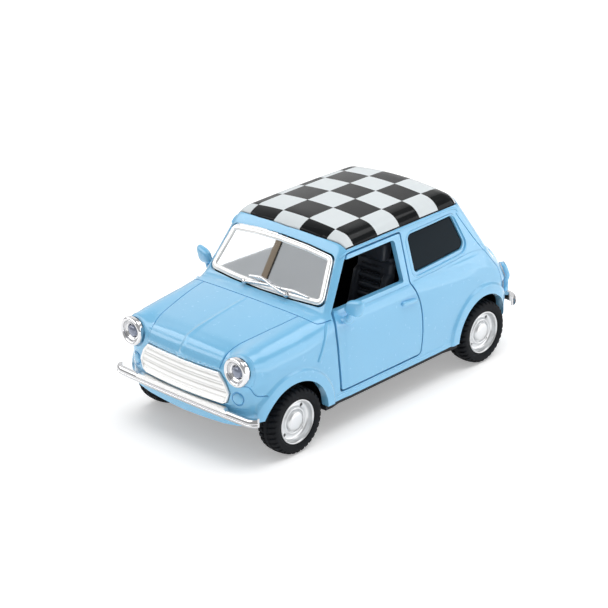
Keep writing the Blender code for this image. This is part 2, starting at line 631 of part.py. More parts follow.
def make_chassis():
    rim = project(*shell_rays())[:, 0]
    normals = skin_normals(rim)
    normals[:, 2] = 0.0
    rim -= normals * 0.7
    outline = [(x, v) for x, v, z in rim if x > 0.1]
    outline += [(-x, v) for x, v in reversed(outline)]
    base = prism("chassis_base", outline, (5.7, SILL_Z - GAP), upright, BLACK)
    for label, side in (("left", 1.0), ("right", -1.0)):
        for axle, v in (("front", 0.0), ("rear", WHEELBASE)):
            well = box(f"{label}_{axle}_well", (side * 14.4, side * 30), (v - 9.3, v + 9.3), (0.0, 20.0))
            boolean(base, well)
    keel = box("keel", (-13.6, 13.6), (-10.4, 74.0), (FLOOR_Z, 6.3))
    boolean(base, bevel(keel, 0.8), "UNION")
    for axle, v in (("front", 0.0), ("rear", WHEELBASE)):
        for label, side in (("left", 1.0), ("right", -1.0)):
            x = (side * 9.0, side * 12.0)
            boolean(base, box(f"{axle}_{label}_saddle", x, (v - 2.6, v + 2.6), (6.0, 10.3)), "UNION")
        slot = circle(BORE_RADIUS, 16, (v, AXLE_Z))
        arc = [p for p in slot if p[1] <= AXLE_Z + 0.01]
        arc = sorted(arc, key=lambda p: p[0])
        arc = [(v - BORE_RADIUS, 12.0)] + arc + [(v + BORE_RADIUS, 12.0)]
        boolean(base, prism(f"{axle}_axle_slot", arc, (-20.0, 20.0), across))
    boolean(base, box("motor_opening", (-7.7, 5.1), (43.2, 68.2), (0.0, 12.0)))
    for label, v in (("front", POST_V[0]), ("rear", POST_V[1])):
        boolean(base, prism(f"{label}_screw_hole", circle(1.15, 12, (0, v)), (0.0, 12.0), upright))
        boolean(base, prism(f"{label}_counterbore", circle(2.3, 14, (0, v)), (0.0, 5.0), upright))
        screw = [(FLOOR_Z + 0.1, 0.0), (FLOOR_Z + 0.1, 1.5), (FLOOR_Z + 0.5, 1.9), (4.65, 1.9),
                 (4.65, 0.8), (11.5, 0.8), (12.2, 0.0)]

        def frame(a, b, along, v=v):
            return (a, v + b, along)
        turned(f"base_screw_{label}", screw, 12, frame, STEEL)


def make_interior():
    """The black tub: floor, dashboard, rear bench over the motor, and hooks for the door pins."""
    tub = box("interior_tub", (-18.2, 18.2), (12.2, 43.1), (7.6, 8.8), BLACK)
    pieces = [
        box("firewall", (-16.2, 16.2), (11.6, 12.8), (7.7, 26.0)),
        bevel(box("dashboard", (-16.3, 16.3), (12.0, 17.5), (20.8, 26.3)), 0.8, 2),
        box("bench_front", (-15.2, 15.2), (42.0, 43.2), (7.7, 22.4)),
        box("bench_top", (-15.3, 15.3), (41.8, 63.0), (21.6, 22.8)),
        bevel(box("bench_back", (-15.1, 15.1), (59.8, 62.6), (21.9, 32.2)), 0.8, 2),
    ]
    for label, side in (("left", 1.0), ("right", -1.0)):
        x = (side * 14.0, side * 16.1)
        pieces.append(box(f"{label}_hook_root", x, (15.5, 19.2), (18.7, 22.5)))
        pieces.append(box(f"{label}_hook", (side * 15.0, side * 20.2), (17.4, 19.2), (18.7, 21.3)))
        pieces.append(box(f"{label}_bench_side", (side * 13.8, side * 15.1), (42.1, 61.0), (14.0, 22.0)))
    for piece in pieces:
        boolean(tub, piece, "UNION")
    for label, side in (("left", 1.0), ("right", -1.0)):
        eye = circle(PIN_RADIUS + GAP, 14, (side * HINGE_X, HINGE_V))
        boolean(tub, prism(f"{label}_hook_eye", eye, (18.0, 22.0), upright))


def make_seats():
    cushion = [(23.5, 9.2), (34.5, 9.2), (36.0, 13.0), (40.4, 30.8), (39.2, 32.0), (37.4, 31.4),
               (33.6, 15.6), (24.5, 15.0), (23.4, 13.4)]
    headrest = [(38.3, 31.0), (39.6, 31.0), (40.6, 32.4), (40.9, 35.2), (40.0, 36.0), (38.2, 35.6),
                (37.6, 32.6)]
    for label, side in (("left", 1.0), ("right", -1.0)):
        seat = prism(f"seat_{label}", cushion, (side * 4.8, side * 15.6), across, BLACK)
        bevel(seat, 0.9, 2)
        rest = bevel(prism(f"{label}_headrest", headrest, (side * 6.6, side * 13.8), across), 0.6, 1)
        boolean(seat, rest, "UNION")


def make_steering_wheel():
    tilt = radians(32)
    centre = Vector((-10.0, 22.3, 26.6))
    axis = Vector((0.0, cos(tilt), sin(tilt)))
    up = Vector((0.0, -sin(tilt), cos(tilt)))

    def frame(a, b, along):
        return tuple(centre + Vector((a, 0.0, 0.0)) + up * b + axis * along)

    rim = [(0.45 * cos(t), 3.9 + 0.45 * sin(t)) for t in (tau * k / 6 for k in range(6))]
    wheel = turned("steering_wheel", rim, 20, frame, BLACK)
    column = [(0.5, 0.0), (0.5, 0.9), (-0.5, 0.9), (-4.4, 0.6), (-4.4, 0.0)]
    boolean(wheel, turned("steering_column", column, 10, frame), "UNION")
    for k in range(3):
        turn = Matrix.Rotation(tau * k / 3 - pi / 2, 2)
        corners = [turn @ Vector(p) for p in ((0.2, -0.45), (3.9, -0.35), (3.9, 0.35), (0.2, 0.45))]
        spoke = prism(f"steering_spoke_{k}", [tuple(c) for c in corners], (-0.25, 0.2), frame)
        boolean(wheel, spoke, "UNION")


# ---------------------------------------------------------------- wheels and motor

def wheel_frame(side, v):
    """Along is measured outwards from the middle of the wheel."""
    def frame(a, b, along):
        return (side * (WHEEL_X + along), v + a, AXLE_Z + b)
    return frame


def make_wheels():
    tyre = [(-2.6, 5.5), (2.6, 5.5), (2.7, 6.3), (2.4, 7.3), (1.7, TYRE_RADIUS), (-1.7, TYRE_RADIUS),
            (-2.4, 7.3), (-2.7, 6.3)]
    rim = [(2.3, 0.0), (2.2, 1.2), (1.5, 2.3), (1.1, 3.0), (1.3, 4.3), (2.4, 4.7), (2.4, 5.15),
           (-2.3, 5.15), (-2.3, 4.6), (0.0, 4.0), (0.0, 2.2), (-2.0, 2.2), (-2.0, BORE_RADIUS),
           (0.8, BORE_RADIUS), (0.8, 0.0)]
    for axle, v in (("front", 0.0), ("rear", WHEELBASE)):
        shaft = circle(AXLE_RADIUS, 12, (v, AXLE_Z))
        prism(f"{axle}_axle", shaft, (-20.1, 20.1), across, STEEL)
        for label, side in (("left", 1.0), ("right", -1.0)):
            frame = wheel_frame(side, v)
            turned(f"rim_{axle}_{label}", rim, 16, frame, SILVER)
            turned(f"tyre_{axle}_{label}", tyre, 24, frame, RUBBER, phase=-pi / 2)


def gear_outline(teeth, centre, phase):
    """Straight-flanked teeth on a pitch circle, with one tooth's middle at the phase angle."""
    pitch_radius = MODULE * teeth / 2
    root, tip = pitch_radius - 1.2 * MODULE, pitch_radius + 0.9 * MODULE
    root_half, tip_half = 0.82 * MODULE / root, 0.30 * MODULE / tip
    outline = []
    for k in range(teeth):
        middle = phase + tau * k / teeth
        for radius, turn in ((root, -root_half), (tip, -tip_half), (tip, tip_half), (root, root_half)):
            angle = middle + turn
            outline.append((centre[0] + radius * cos(angle), centre[1] + radius * sin(angle)))
    return outline


def bearing(first, second):
    """The angle from one centre to another."""
    return atan2(second[1] - first[1], second[0] - first[0])


def make_motor():
    axle_centre = (WHEELBASE, AXLE_Z)
    to_idler = bearing(axle_centre, IDLER_CENTRE)
    to_winding = bearing(IDLER_CENTRE, WINDING_CENTRE)
    pinion_phase = to_idler
    idler_phase = to_idler + pi + pi / IDLER_TEETH
    small_phase = to_winding
    winding_phase = to_winding + pi + pi / WINDING_TEETH

    teeth = gear_outline(PINION_TEETH, axle_centre, pinion_phase)
    pinion = prism("axle_gear", teeth, (1.0, 2.9), across, NYLON)
    boolean(pinion, prism("axle_gear_bore", circle(1.3, 12, axle_centre), (0.0, 4.0), across))

    teeth = gear_outline(IDLER_TEETH, IDLER_CENTRE, idler_phase)
    idler = prism("idler_gear", teeth, (1.1, 2.8), across, NYLON)
    teeth = gear_outline(PINION_TEETH, IDLER_CENTRE, small_phase)
    boolean(idler, prism("idler_pinion", teeth, (-2.1, 1.5), across), "UNION")
    boolean(idler, prism("idler_bore", circle(1.0, 12, IDLER_CENTRE), (-4.0, 4.0), across))
    prism("idler_shaft", circle(0.65, 10, IDLER_CENTRE), (-7.3, 4.4), across, STEEL)

    teeth = gear_outline(WINDING_TEETH, WINDING_CENTRE, winding_phase)
    winding = prism("winding_gear", teeth, (-1.9, 0.4), across, NYLON)
    boolean(winding, prism("winding_arbor", circle(0.8, 10, WINDING_CENTRE), (-7.3, 4.4), across), "UNION")

    make_mainspring()

    hull = [(WINDING_CENTRE, 7.3), (IDLER_CENTRE, 7.0), (axle_centre, 4.0)]
    for label, shell_x, hollow_x in (("left", (SPLIT_X, 4.4), (SPLIT_X - 1, 3.4)),
                                     ("right", (-7.2, SPLIT_X - 0.3), (-6.2, SPLIT_X + 1))):
        case = prism(f"motor_case_{label}", case_outline(hull, 0.0), shell_x, across, BLACK)
        boolean(case, prism(f"{label}_case_hollow", case_outline(hull, -0.9), hollow_x, across))
        for name, centre, radius in (("axle", axle_centre, BORE_RADIUS), ("idler", IDLER_CENTRE, 0.95),
                                     ("arbor", WINDING_CENTRE, 1.15)):
            hole = prism(f"{label}_{name}_hole", circle(radius, 12, centre), (-9.0, 6.0), across)
            boolean(case, hole)


def case_outline(circles, change):
    """The convex hull of circles in (v, z), each radius changed by the same amount."""
    points = []
    for centre, radius in circles:
        points += circle(radius + change, 20, centre)
    points = sorted(points)

    def half_hull(ordered):
        chain = []
        for p in ordered:
            while len(chain) > 1:
                (ax, ay), (bx, by) = chain[-2], chain[-1]
                if (bx - ax) * (p[1] - ay) - (by - ay) * (p[0] - ax) > 1e-6:
                    break
                chain.pop()
            chain.append(p)
        return chain[:-1]
    return half_hull(points) + half_hull(points[::-1])


def make_mainspring():
    """A flat spiral ribbon beside the winding wheel, wound round its arbor."""
    turns, per_turn, ribbon = 4, 12, 0.35
    points = []
    count = turns * per_turn + 1
    for k in range(count):
        angle = tau * k / per_turn
        radius = 1.4 + (5.8 - 1.4) * k / (count - 1)
        for r, x in ((radius, -5.6), (radius + ribbon, -5.6), (radius + ribbon, -2.9), (radius, -2.9)):
            points.append((x, WINDING_CENTRE[0] + r * cos(angle), WINDING_CENTRE[1] + r * sin(angle)))
    faces = [(0, 1, 2, 3), tuple(range(len(points) - 4, len(points)))]
    for k in range(count - 1):
        here = 4 * k
        faces += [(here + i, here + (i + 1) % 4, here + 4 + (i + 1) % 4, here + 4 + i) for i in range(4)]
    return mesh_object("mainspring", points, faces, STEEL)


make_body_shell()
make_roof_panel()
make_glazing()
make_wipers()
make_grille()
make_headlights()
make_bumpers()
make_tail_lamps()
make_door("left", 1.0)
make_door("right", -1.0)
make_chassis()
make_interior()
make_seats()
make_steering_wheel()
make_wheels()
make_motor()
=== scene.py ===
"""Looks of the pull back car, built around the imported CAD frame.

Lengths are in millimetres until place() turns them into metres in the frame. Positions are written
(x, v, z), where v is measured rearwards from the front axle. A frame function maps (a, b, along) to
(x, v, z), so that flat outlines can be drawn on the side, the front, the plan or a window.
"""
from math import copysign, cos, hypot, pi, radians, sin, tau

import bmesh
import bpy
import numpy as np
from mathutils import Matrix, Vector


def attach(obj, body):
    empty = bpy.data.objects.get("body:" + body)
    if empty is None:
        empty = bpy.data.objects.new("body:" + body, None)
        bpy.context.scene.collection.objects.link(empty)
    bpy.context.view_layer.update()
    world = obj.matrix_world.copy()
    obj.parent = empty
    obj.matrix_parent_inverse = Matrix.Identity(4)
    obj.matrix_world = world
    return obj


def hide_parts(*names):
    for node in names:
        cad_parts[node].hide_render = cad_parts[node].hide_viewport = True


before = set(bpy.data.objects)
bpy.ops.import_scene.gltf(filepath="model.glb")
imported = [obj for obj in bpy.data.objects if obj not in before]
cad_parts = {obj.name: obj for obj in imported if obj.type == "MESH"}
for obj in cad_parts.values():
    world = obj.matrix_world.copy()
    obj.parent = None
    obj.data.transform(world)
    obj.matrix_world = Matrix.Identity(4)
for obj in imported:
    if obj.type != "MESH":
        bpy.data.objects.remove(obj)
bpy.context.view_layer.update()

MM = 0.001
GAP = 0.42                  # shut line between neighbouring panels
WALL = 1.3                  # thickness of the casting
ORIGIN_V = 33.0             # v of the frame's origin
WHEELBASE = 63.6
AXLE_Z = 7.8
ARCH_RADIUS = 9.5
ARCH_V = (0.0, 63.8)
SILL_Z = 8.1
SCREEN_BASE = (10.95, 29.0)
SCREEN_RUN, SCREEN_RISE = 0.571, 0.821
SCREEN_BOW, SCREEN_LEAN = 0.0041, 0.695
TAILGATE_BASE = (69.5, 29.5)
TAILGATE_RUN, TAILGATE_RISE = -0.537, 0.844
HEADLIGHT = (16.7, 22.6)
INDICATOR = (16.25, -12.3, 15.95)
SIDES = (("left", 1.0), ("right", -1.0))


# ---------------------------------------------------------------- mesh helpers

def place(points):
    return (np.asarray(points, float) - [0.0, ORIGIN_V, 0.0]) * MM


def mesh_object(name, points, faces, finish=None, angle=35):
    mesh = bpy.data.meshes.new(name)
    mesh.from_pydata([tuple(p) for p in place(points)], [], [tuple(f) for f in faces])
    work = bmesh.new()
    work.from_mesh(mesh)
    bmesh.ops.remove_doubles(work, verts=work.verts, dist=1e-7)
    bmesh.ops.dissolve_degenerate(work, edges=work.edges, dist=1e-8)
    bmesh.ops.recalc_face_normals(work, faces=work.faces)
    work.to_mesh(mesh)
    work.free()
    mesh.shade_smooth()
    mesh.set_sharp_from_angle(angle=radians(angle))
    made = bpy.data.objects.new(name, mesh)
    bpy.context.collection.objects.link(made)
    if finish:
        mesh.materials.append(finish)
    return made


def apply_modifiers(target):
    bpy.context.view_layer.update()
    result = bpy.data.meshes.new_from_object(target.evaluated_get(bpy.context.evaluated_depsgraph_get()))
    target.modifiers.clear()
    target.data = result


def cut(target, tool, operation="DIFFERENCE"):
    """Cuts the tool from the target, or joins or intersects them, and removes the tool."""
    step = target.modifiers.new("Cut", "BOOLEAN")
    step.object = tool
    step.operation = operation
    step.solver = "MANIFOLD"
    apply_modifiers(target)
    bpy.data.objects.remove(tool)
    return target


def joined(objects, name, angle):
    """Several objects as one, with their materials kept."""
    mesh = bpy.data.meshes.new(name)
    work = bmesh.new()
    finishes = []
    for part in objects:
        data = part.data
        index = []
        for finish in data.materials:
            if finish not in finishes:
                finishes.append(finish)
            index.append(finishes.index(finish))
        start = len(work.faces)
        work.from_mesh(data)
        work.faces.ensure_lookup_table()
        for face in work.faces[start:]:
            face.material_index = index[face.material_index] if index else 0
        bpy.data.objects.remove(part)
    work.to_mesh(mesh)
    work.free()
    for finish in finishes:
        mesh.materials.append(finish)
    mesh.shade_smooth()
    mesh.set_sharp_from_angle(angle=radians(angle))
    made = bpy.data.objects.new(name, mesh)
    bpy.context.collection.objects.link(made)
    return made


def ring_faces(rings, count, closed=False, capped=True):
    """Quads between neighbouring rings of points. The last ring joins the first, or the ends are capped."""
    faces = []
    for k in range(rings if closed else rings - 1):
        here, following = k * count, (k + 1) % rings * count
        for i in range(count):
            j = (i + 1) % count
            faces.append((here + i, here + j, following + j, following + i))
    if capped and not closed:
        faces += [tuple(range(count)), tuple(range((rings - 1) * count, rings * count))]
    return faces


def round_turn(count):
    """Evenly spaced angles round a full turn."""
    return [tau * k / count for k in range(count)]


def prism(name, outline, depth, frame_of, finish=None):
    near, far = depth
    points = [frame_of(a, b, near) for a, b in outline]
    points += [frame_of(a, b, far) for a, b in outline]
    return mesh_object(name, points, ring_faces(2, len(outline)), finish)


def across(a, b, along):
    return (along, a, b)


def lengthways(a, b, along):
    return (a, along, b)


def upright(a, b, along):
    return (a, b, along)


def on_screen(a, b, along):
    v, z = SCREEN_BASE
    return (a, v + b * SCREEN_RUN - along * SCREEN_RISE, z + b * SCREEN_RISE + along * SCREEN_RUN)


def on_tailgate(a, b, along):
    v, z = TAILGATE_BASE
    return (a, v + b * TAILGATE_RUN + along * TAILGATE_RISE,
            z + b * TAILGATE_RISE - along * TAILGATE_RUN)


def box(name, x, v, z):
    return prism(name, [(v[0], z[0]), (v[1], z[0]), (v[1], z[1]), (v[0], z[1])], x, across)


def circle(radius, sides, centre=(0.0, 0.0)):
    return [(centre[0] + radius * cos(t), centre[1] + radius * sin(t)) for t in round_turn(sides)]


def rounded(corners, radius, steps=6):
    outline = []
    count = len(corners)
    radii = radius if isinstance(radius, (list, tuple)) else [radius] * count
    for k, corner in enumerate(corners):
        here = Vector(corner)
        back = (Vector(corners[k - 1]) - here).normalized()
        ahead = (Vector(corners[(k + 1) % count]) - here).normalized()
        half = back.angle(ahead) / 2
        if radii[k] == 0 or half > radians(88):
            outline.append(tuple(here))
            continue
        room = min((Vector(corners[k - 1]) - here).length, (Vector(corners[(k + 1) % count]) - here).length)
        reach = min(radii[k] / np.tan(half), 0.48 * room)
        middle = here + (back + ahead).normalized() * reach / cos(half)
        start = here + back * reach - middle
        end = here + ahead * reach - middle
        for step in range(steps + 1):
            outline.append(tuple(middle + start.lerp(end, step / steps).normalized() * start.length))
    return outline


def winding(outline):
    """1 for an outline drawn anticlockwise, -1 for a clockwise one."""
    area = sum(p[0] * q[1] - q[0] * p[1] for p, q in zip(outline, outline[1:] + outline[:1]))
    return 1.0 if area > 0 else -1.0


def grown(outline, distance):
    """The outline moved outwards by a distance, or inwards by a negative one."""
    side = winding(outline)
    result = []
    count = len(outline)
    for k, corner in enumerate(outline):
        here = Vector(corner)
        back = (here - Vector(outline[k - 1])).normalized()
        ahead = (Vector(outline[(k + 1) % count]) - here).normalized()
        normal = Vector((back.y + ahead.y, -back.x - ahead.x)).normalized() * side
        square = Vector((back.y, -back.x)) * side
        result.append(tuple(here + normal * distance / max(normal.dot(square), 0.4)))
    return result


def turned(name, profile, sides, frame_of, finish, angle=35):
    """A closed (along, radius) profile spun round an axis."""
    points = []
    for turn in round_turn(sides):
        points += [frame_of(r * cos(turn), r * sin(turn), along) for along, r in profile]
    return mesh_object(name, points, ring_faces(sides, len(profile), closed=True), finish, angle)


def sweep(name, path, across_dirs, up_dirs, section, finish=None, closed=False, angle=35):
    """A closed section carried along 3-D points, in each point's own across and up directions."""
    path = np.asarray(path, float)
    points = []
    for p, side, up in zip(path, np.asarray(across_dirs, float), np.asarray(up_dirs, float)):
        points += [p + side * a + up * b for a, b in section]
    return mesh_object(name, points, ring_faces(len(path), len(section), closed), finish, angle)


def resampled(path, pitch, closed=False):
    """Points at an even pitch along the straight runs between the given points."""
    path = np.asarray(path, float)
    if closed:
        path = np.concatenate([path, path[:1]])
    length = np.concatenate([[0], np.cumsum(np.linalg.norm(np.diff(path, axis=0), axis=1))])
    count = max(int(length[-1] / pitch), 2)
    t = np.linspace(0, length[-1], count + 1)
    result = np.stack([np.interp(t, length, path[:, k]) for k in range(path.shape[1])], axis=1)
    return result[:-1] if closed else result


def spline(points, per_span=8):
    """A Catmull-Rom curve through the points."""
    p = np.asarray(points, float)
    p = np.concatenate([[2 * p[0] - p[1]], p, [2 * p[-1] - p[-2]]])
    out = []
    for k in range(1, len(p) - 2):
        for t in np.linspace(0, 1, per_span, endpoint=False):
            a, b, c, d = p[k - 1], p[k], p[k + 1], p[k + 2]
            out.append(0.5 * (2 * b + (c - a) * t + (2 * a - 5 * b + 4 * c - d) * t ** 2
                              + (3 * b - a - 3 * c + d) * t ** 3))
    out.append(p[-2])
    return np.array(out)


# ---------------------------------------------------------------- the body's outer surface

ROUNDING = 2.3      # 2 would be a circular corner, more is fuller


def smooth_max(a, b, radius):
    """The larger of two fields, with the edge between them rounded off."""
    u = np.maximum(radius + a, 0.0)
    w = np.maximum(radius + b, 0.0)
    return np.minimum(-radius, np.maximum(a, b)) + (u ** ROUNDING + w ** ROUNDING) ** (1 / ROUNDING)


def smooth_min(a, b, radius):
    return -smooth_max(-a, -b, radius)


def above(t):
    return np.maximum(t, 0.0)


def ramp(t):
    t = np.clip(t, 0.0, 1.0)
    return t * t * (3 - 2 * t)


def side_half_width(v, z):
    """Half the lower body's width, narrower towards both ends, up the side and under the sill."""
    plan = 22.0 - 0.0034 * above(12 - v) ** 1.9 - 0.0022 * above(v - 45) ** 1.9
    lean = np.interp(v, [-2, 14], [0.35, 1.0])
    return plan - 0.0072 * lean * above(z - 17) ** 2.2 - 0.004 * above(17 - z) ** 2


def lower_body(x, v, z):
    """The body below the windows: sides, bonnet and waist, nose and tail, with rounded edges."""
    side = x - side_half_width(v, z)
    bonnet = 29.3 + 0.10 * (v - 10) - 0.0026 * (v - 10) ** 2
    waist = 29.3 + 0.02 * (v - 10) - 0.0006 * (v - 10) ** 2
    top = z - (np.where(v < 10, bonnet, waist) - 0.0030 * x ** 2)
    nose = -13.5 + 0.0048 * x ** 2 + 0.012 * above(z - 17) ** 2 + 0.01 * above(13 - z) ** 2 - v
    tail = v - (77.7 - 0.0062 * x ** 2 - 0.008 * above(14 - z) ** 2)
    shape = smooth_max(side, nose, 5.0)
    shape = smooth_max(shape, tail, 5.5)
    shoulder = np.interp(v, [-14, -6, 4, 14, 40, 60, 70], [4.2, 5.2, 5.2, 2.8, 2.8, 5, 10.5])
    return smooth_max(shape, top, shoulder)


def wing_tube(x, v, z):
    """The rounded crown of the front wing, from the headlight back to the door."""
    t = np.clip((v + 11) / 26.0, 0, 1)
    centre_x = 16.5 + 0.1 * t
    centre_z = 22.4 + 1.5 * t - 0.9 * t ** 4
    tube = np.sqrt((x - centre_x) ** 2 + (z - centre_z) ** 2) - 3.7
    return smooth_max(tube, np.abs(v - 1.2) - 12.8, 1.4)


def cabin(x, v, z):
    """The upper body: leaning sides, windscreen, tailgate and roof."""
    half = 20.15 - 0.231 * (z - 28.8) - 0.0004 * above(35 - v) ** 2 - 0.0014 * above(v - 42) ** 2
    side = (x - np.minimum(half, 20.6)) * 0.974
    screen = (SCREEN_BASE[0] + SCREEN_BOW * x ** 2 + SCREEN_LEAN * (z - 29) - v) * SCREEN_RISE
    rear = (v - (69.5 - 0.0048 * x ** 2 - 0.636 * (z - 29.5))) * 0.844
    roof = z - (44.3 - 0.0043 * x ** 2 - 0.0006 * (v - 41) ** 2)
    shape = smooth_max(side, screen, 2.2)
    shape = smooth_max(shape, rear, 2.9)
    shape = smooth_max(shape, roof, 3.3)
    return smooth_max(shape, 18 - z, 0.5)


def plain_body(x, v, z):
    x = np.abs(x)
    shape = smooth_min(lower_body(x, v, z), wing_tube(x, v, z), 1.8)
    return smooth_min(shape, cabin(x, v, z), 1.0)


def raised(x, v, z):
    """How far mouldings stand proud of the plain skin: wheel-arch flares, sill and bonnet crease."""
    x = np.abs(x)
    height = np.zeros(np.broadcast(x, v, z).shape)
    for centre in ARCH_V:
        reach = np.hypot(v - centre, z - AXLE_Z)
        height = height + 0.72 * ramp((12.35 - reach) / 0.75)
    height = height * ramp((x - 19.2) / 1.0)
    sill = 0.22 * ramp((9.5 - z) / 0.3) * ramp((x - 18.0) / 1.0)
    share = ramp((-1.0 - v) / 8.0)
    crease = (0.17 + 0.12 * share) * np.exp(-(x / (0.3 + 0.25 * share)) ** 2)
    crease = crease * ramp((7.2 - v) / 0.6) * ramp((z - 22.0) / 0.8)
    bonnet_lip = 0.34 * ramp((z - 21.6) / 0.22) * ramp((-9.0 - v) / 2.5) * ramp((11.75 - x) / 0.3)
    waist = 0.14 * ramp((27.55 - z) / 0.25) * ramp((v - 15.0) / 2.0) * ramp((70.0 - v) / 4.0)
    waist = waist * ramp((x - 17.5) / 1.0)
    return np.maximum(height, sill) + crease + bonnet_lip + waist


def body(x, v, z):
    return plain_body(x, v, z) - raised(x, v, z)


def project(starts, rays, field=body):
    """Where rays from inside the field leave it."""
    near = np.zeros(starts.shape[:-1])
    far = np.full(starts.shape[:-1], 60.0)
    for _ in range(34):
        middle = (near + far) / 2
        p = starts + rays * middle[..., None]
        inside = field(p[..., 0], p[..., 1], p[..., 2]) < 0
        near = np.where(inside, middle, near)
        far = np.where(inside, far, middle)
    return starts + rays * near[..., None]


def slope(points, field=body):
    result = np.zeros_like(points)
    step = 0.04
    for axis in range(3):
        shift = np.zeros(3)
        shift[axis] = step
        a, b = points + shift, points - shift
        result[..., axis] = (field(a[..., 0], a[..., 1], a[..., 2])
                             - field(b[..., 0], b[..., 1], b[..., 2])) / (2 * step)
    return result


def unit(vectors):
    return vectors / np.linalg.norm(vectors, axis=-1, keepdims=True)


def skin_normals(points, field=body):
    return unit(slope(points, field))


def on_skin(points, field=body):
    """The nearest points of the skin."""
    points = np.array(points, float)
    for _ in range(8):
        steep = slope(points, field)
        value = field(points[..., 0], points[..., 1], points[..., 2])
        points = points - steep * (value / np.maximum((steep ** 2).sum(-1), 0.2))[..., None]
    return points


def grid_faces(rows, columns, start=0):
    return [(start + i * columns + j, start + i * columns + j + 1,
             start + (i + 1) * columns + j + 1, start + (i + 1) * columns + j)
            for i in range(rows - 1) for j in range(columns - 1)]


def slab(name, starts, rays, outer, inner, finish=None, field=plain_body):
    """A plate that follows the skin, between two heights above it."""
    surface = project(starts, rays, field=field)
    normals = skin_normals(surface, field)
    rows, columns = surface.shape[:2]
    count = rows * columns
    points = np.concatenate([(surface + normals * outer).reshape(-1, 3),
                             (surface + normals * inner).reshape(-1, 3)])
    faces = grid_faces(rows, columns) + grid_faces(rows, columns, count)
    rim = list(range(columns))
    rim += [i * columns + columns - 1 for i in range(1, rows)]
    rim += [(rows - 1) * columns + j for j in range(columns - 2, -1, -1)]
    rim += [i * columns for i in range(rows - 2, 0, -1)]
    faces += [(a, b, b + count, a + count) for a, b in zip(rim, rim[1:] + rim[:1])]
    return mesh_object(name, points, faces, finish)


def sheet_rays(frame_of, a_values, b_values, start, direction):
    starts = np.array([[frame_of(a, b, start) for a in a_values] for b in b_values])
    origin = np.array(frame_of(0, 0, 0))
    return starts, np.broadcast_to(unit(np.array(frame_of(0, 0, direction)) - origin), starts.shape)


def along_skin(path, pitch, closed=False):
    """Skin points, sideways and outward directions along a path that is drawn near the skin."""
    path = path if closed else spline(path)
    points = on_skin(resampled(path, pitch, closed))
    up = skin_normals(points)
    if closed:
        run = np.roll(points, -1, axis=0) - np.roll(points, 1, axis=0)
    else:
        run = np.gradient(points, axis=0)
    return points, unit(np.cross(unit(run), up)), up


def groove(path, width, depth, closed=False):
    """A cutter for a narrow channel with a rounded floor."""
    points, side, up = along_skin(path, 0.3, closed)
    half = width / 2
    section = [(-half - 0.03, 0.5), (-half, -0.05), (-half * 0.75, -depth * 0.75), (0.0, -depth),
               (half * 0.75, -depth * 0.75), (half, -0.05), (half + 0.03, 0.5)]
    return sweep("groove", points, side, up, section, closed=closed)


def bead(path, width, height, closed=False):
    """A low rounded ridge on the skin."""
    points, side, up = along_skin(path, 0.4, closed)
    arc = [(width / 2 * cos(t), height * sin(t)) for t in np.linspace(0, pi, 7)]
    section = [(width / 2, -0.25)] + arc + [(-width / 2, -0.25)]
    return sweep("bead", points, side, up, section, PAINT, closed, 60)


def mirrored(path):
    return [(-p[0],) + tuple(p[1:]) for p in path]


# ---------------------------------------------------------------- materials

class Look:
    """A material in the making: its shader and the nodes that feed it."""

    def __init__(self, name):
        self.material = bpy.data.materials.new(name)
        self.material.use_nodes = True
        self.tree = self.material.node_tree
        self.shader = self.tree.nodes["Principled BSDF"]

    def feed(self, node, inputs):
        """Sets the node's inputs, each from a plain value or from another node's output."""
        for socket, value in inputs.items():
            if isinstance(value, bpy.types.NodeSocket):
                self.tree.links.new(value, node.inputs[socket])
            else:
                node.inputs[socket].default_value = value

    def add(self, kind, **inputs):
        """A new node, with inputs named in lower case."""
        made = self.tree.nodes.new(f"ShaderNode{kind}")
        self.feed(made, {word.replace("_", " ").title(): value for word, value in inputs.items()})
        return made

    def noise(self, scale, detail=3.0):
        """Noise over the object's own coordinates. The scale is in repeats to the metre."""
        spot = self.add("TexCoord").outputs["Object"]
        return self.add("TexNoise", vector=spot, scale=scale, detail=detail, roughness=0.55).outputs["Fac"]

    def shades(self, scale, first, second):
        """A base colour that drifts between two shades."""
        made = self.tree.nodes.new("ShaderNodeMix")
        made.data_type = "RGBA"
        self.feed(made, {0: self.noise(scale), 6: (*first, 1.0), 7: (*second, 1.0)})
        self.tree.links.new(made.outputs[2], self.shader.inputs["Base Color"])

    def roughness(self, scale, low, high):
        spread = self.add("MapRange", value=self.noise(scale), to_min=low, to_max=high)
        self.tree.links.new(spread.outputs["Result"], self.shader.inputs["Roughness"])

    def bump(self, scale, detail, distance, strength, radius=None):
        """Fine relief, over edges softened by a radius where one is given."""
        made = self.add("Bump", height=self.noise(scale, detail), distance=distance, strength=strength)
        if radius:
            soft = self.add("Bevel", radius=radius)
            soft.samples = 4
            self.tree.links.new(soft.outputs["Normal"], made.inputs["Normal"])
        self.tree.links.new(made.outputs["Normal"], self.shader.inputs["Normal"])


def paint_material():
    look = Look("sky_blue_paint")
    look.shades(60.0, (0.189, 0.541, 0.838), (0.200, 0.556, 0.852))
    look.roughness(900.0, 0.22, 0.30)
    look.feed(look.shader, {"Coat Weight": 1.0, "Coat Roughness": 0.03})
    return look.material


CHEQUER_WIDTH, CHEQUER_SHIFT = 8.1, 0.543
CHEQUER_RUN, CHEQUER_V = 8.2, 23.9
CHEQUER_CLOSING = 0.00058   # the rows close up slightly towards the tail


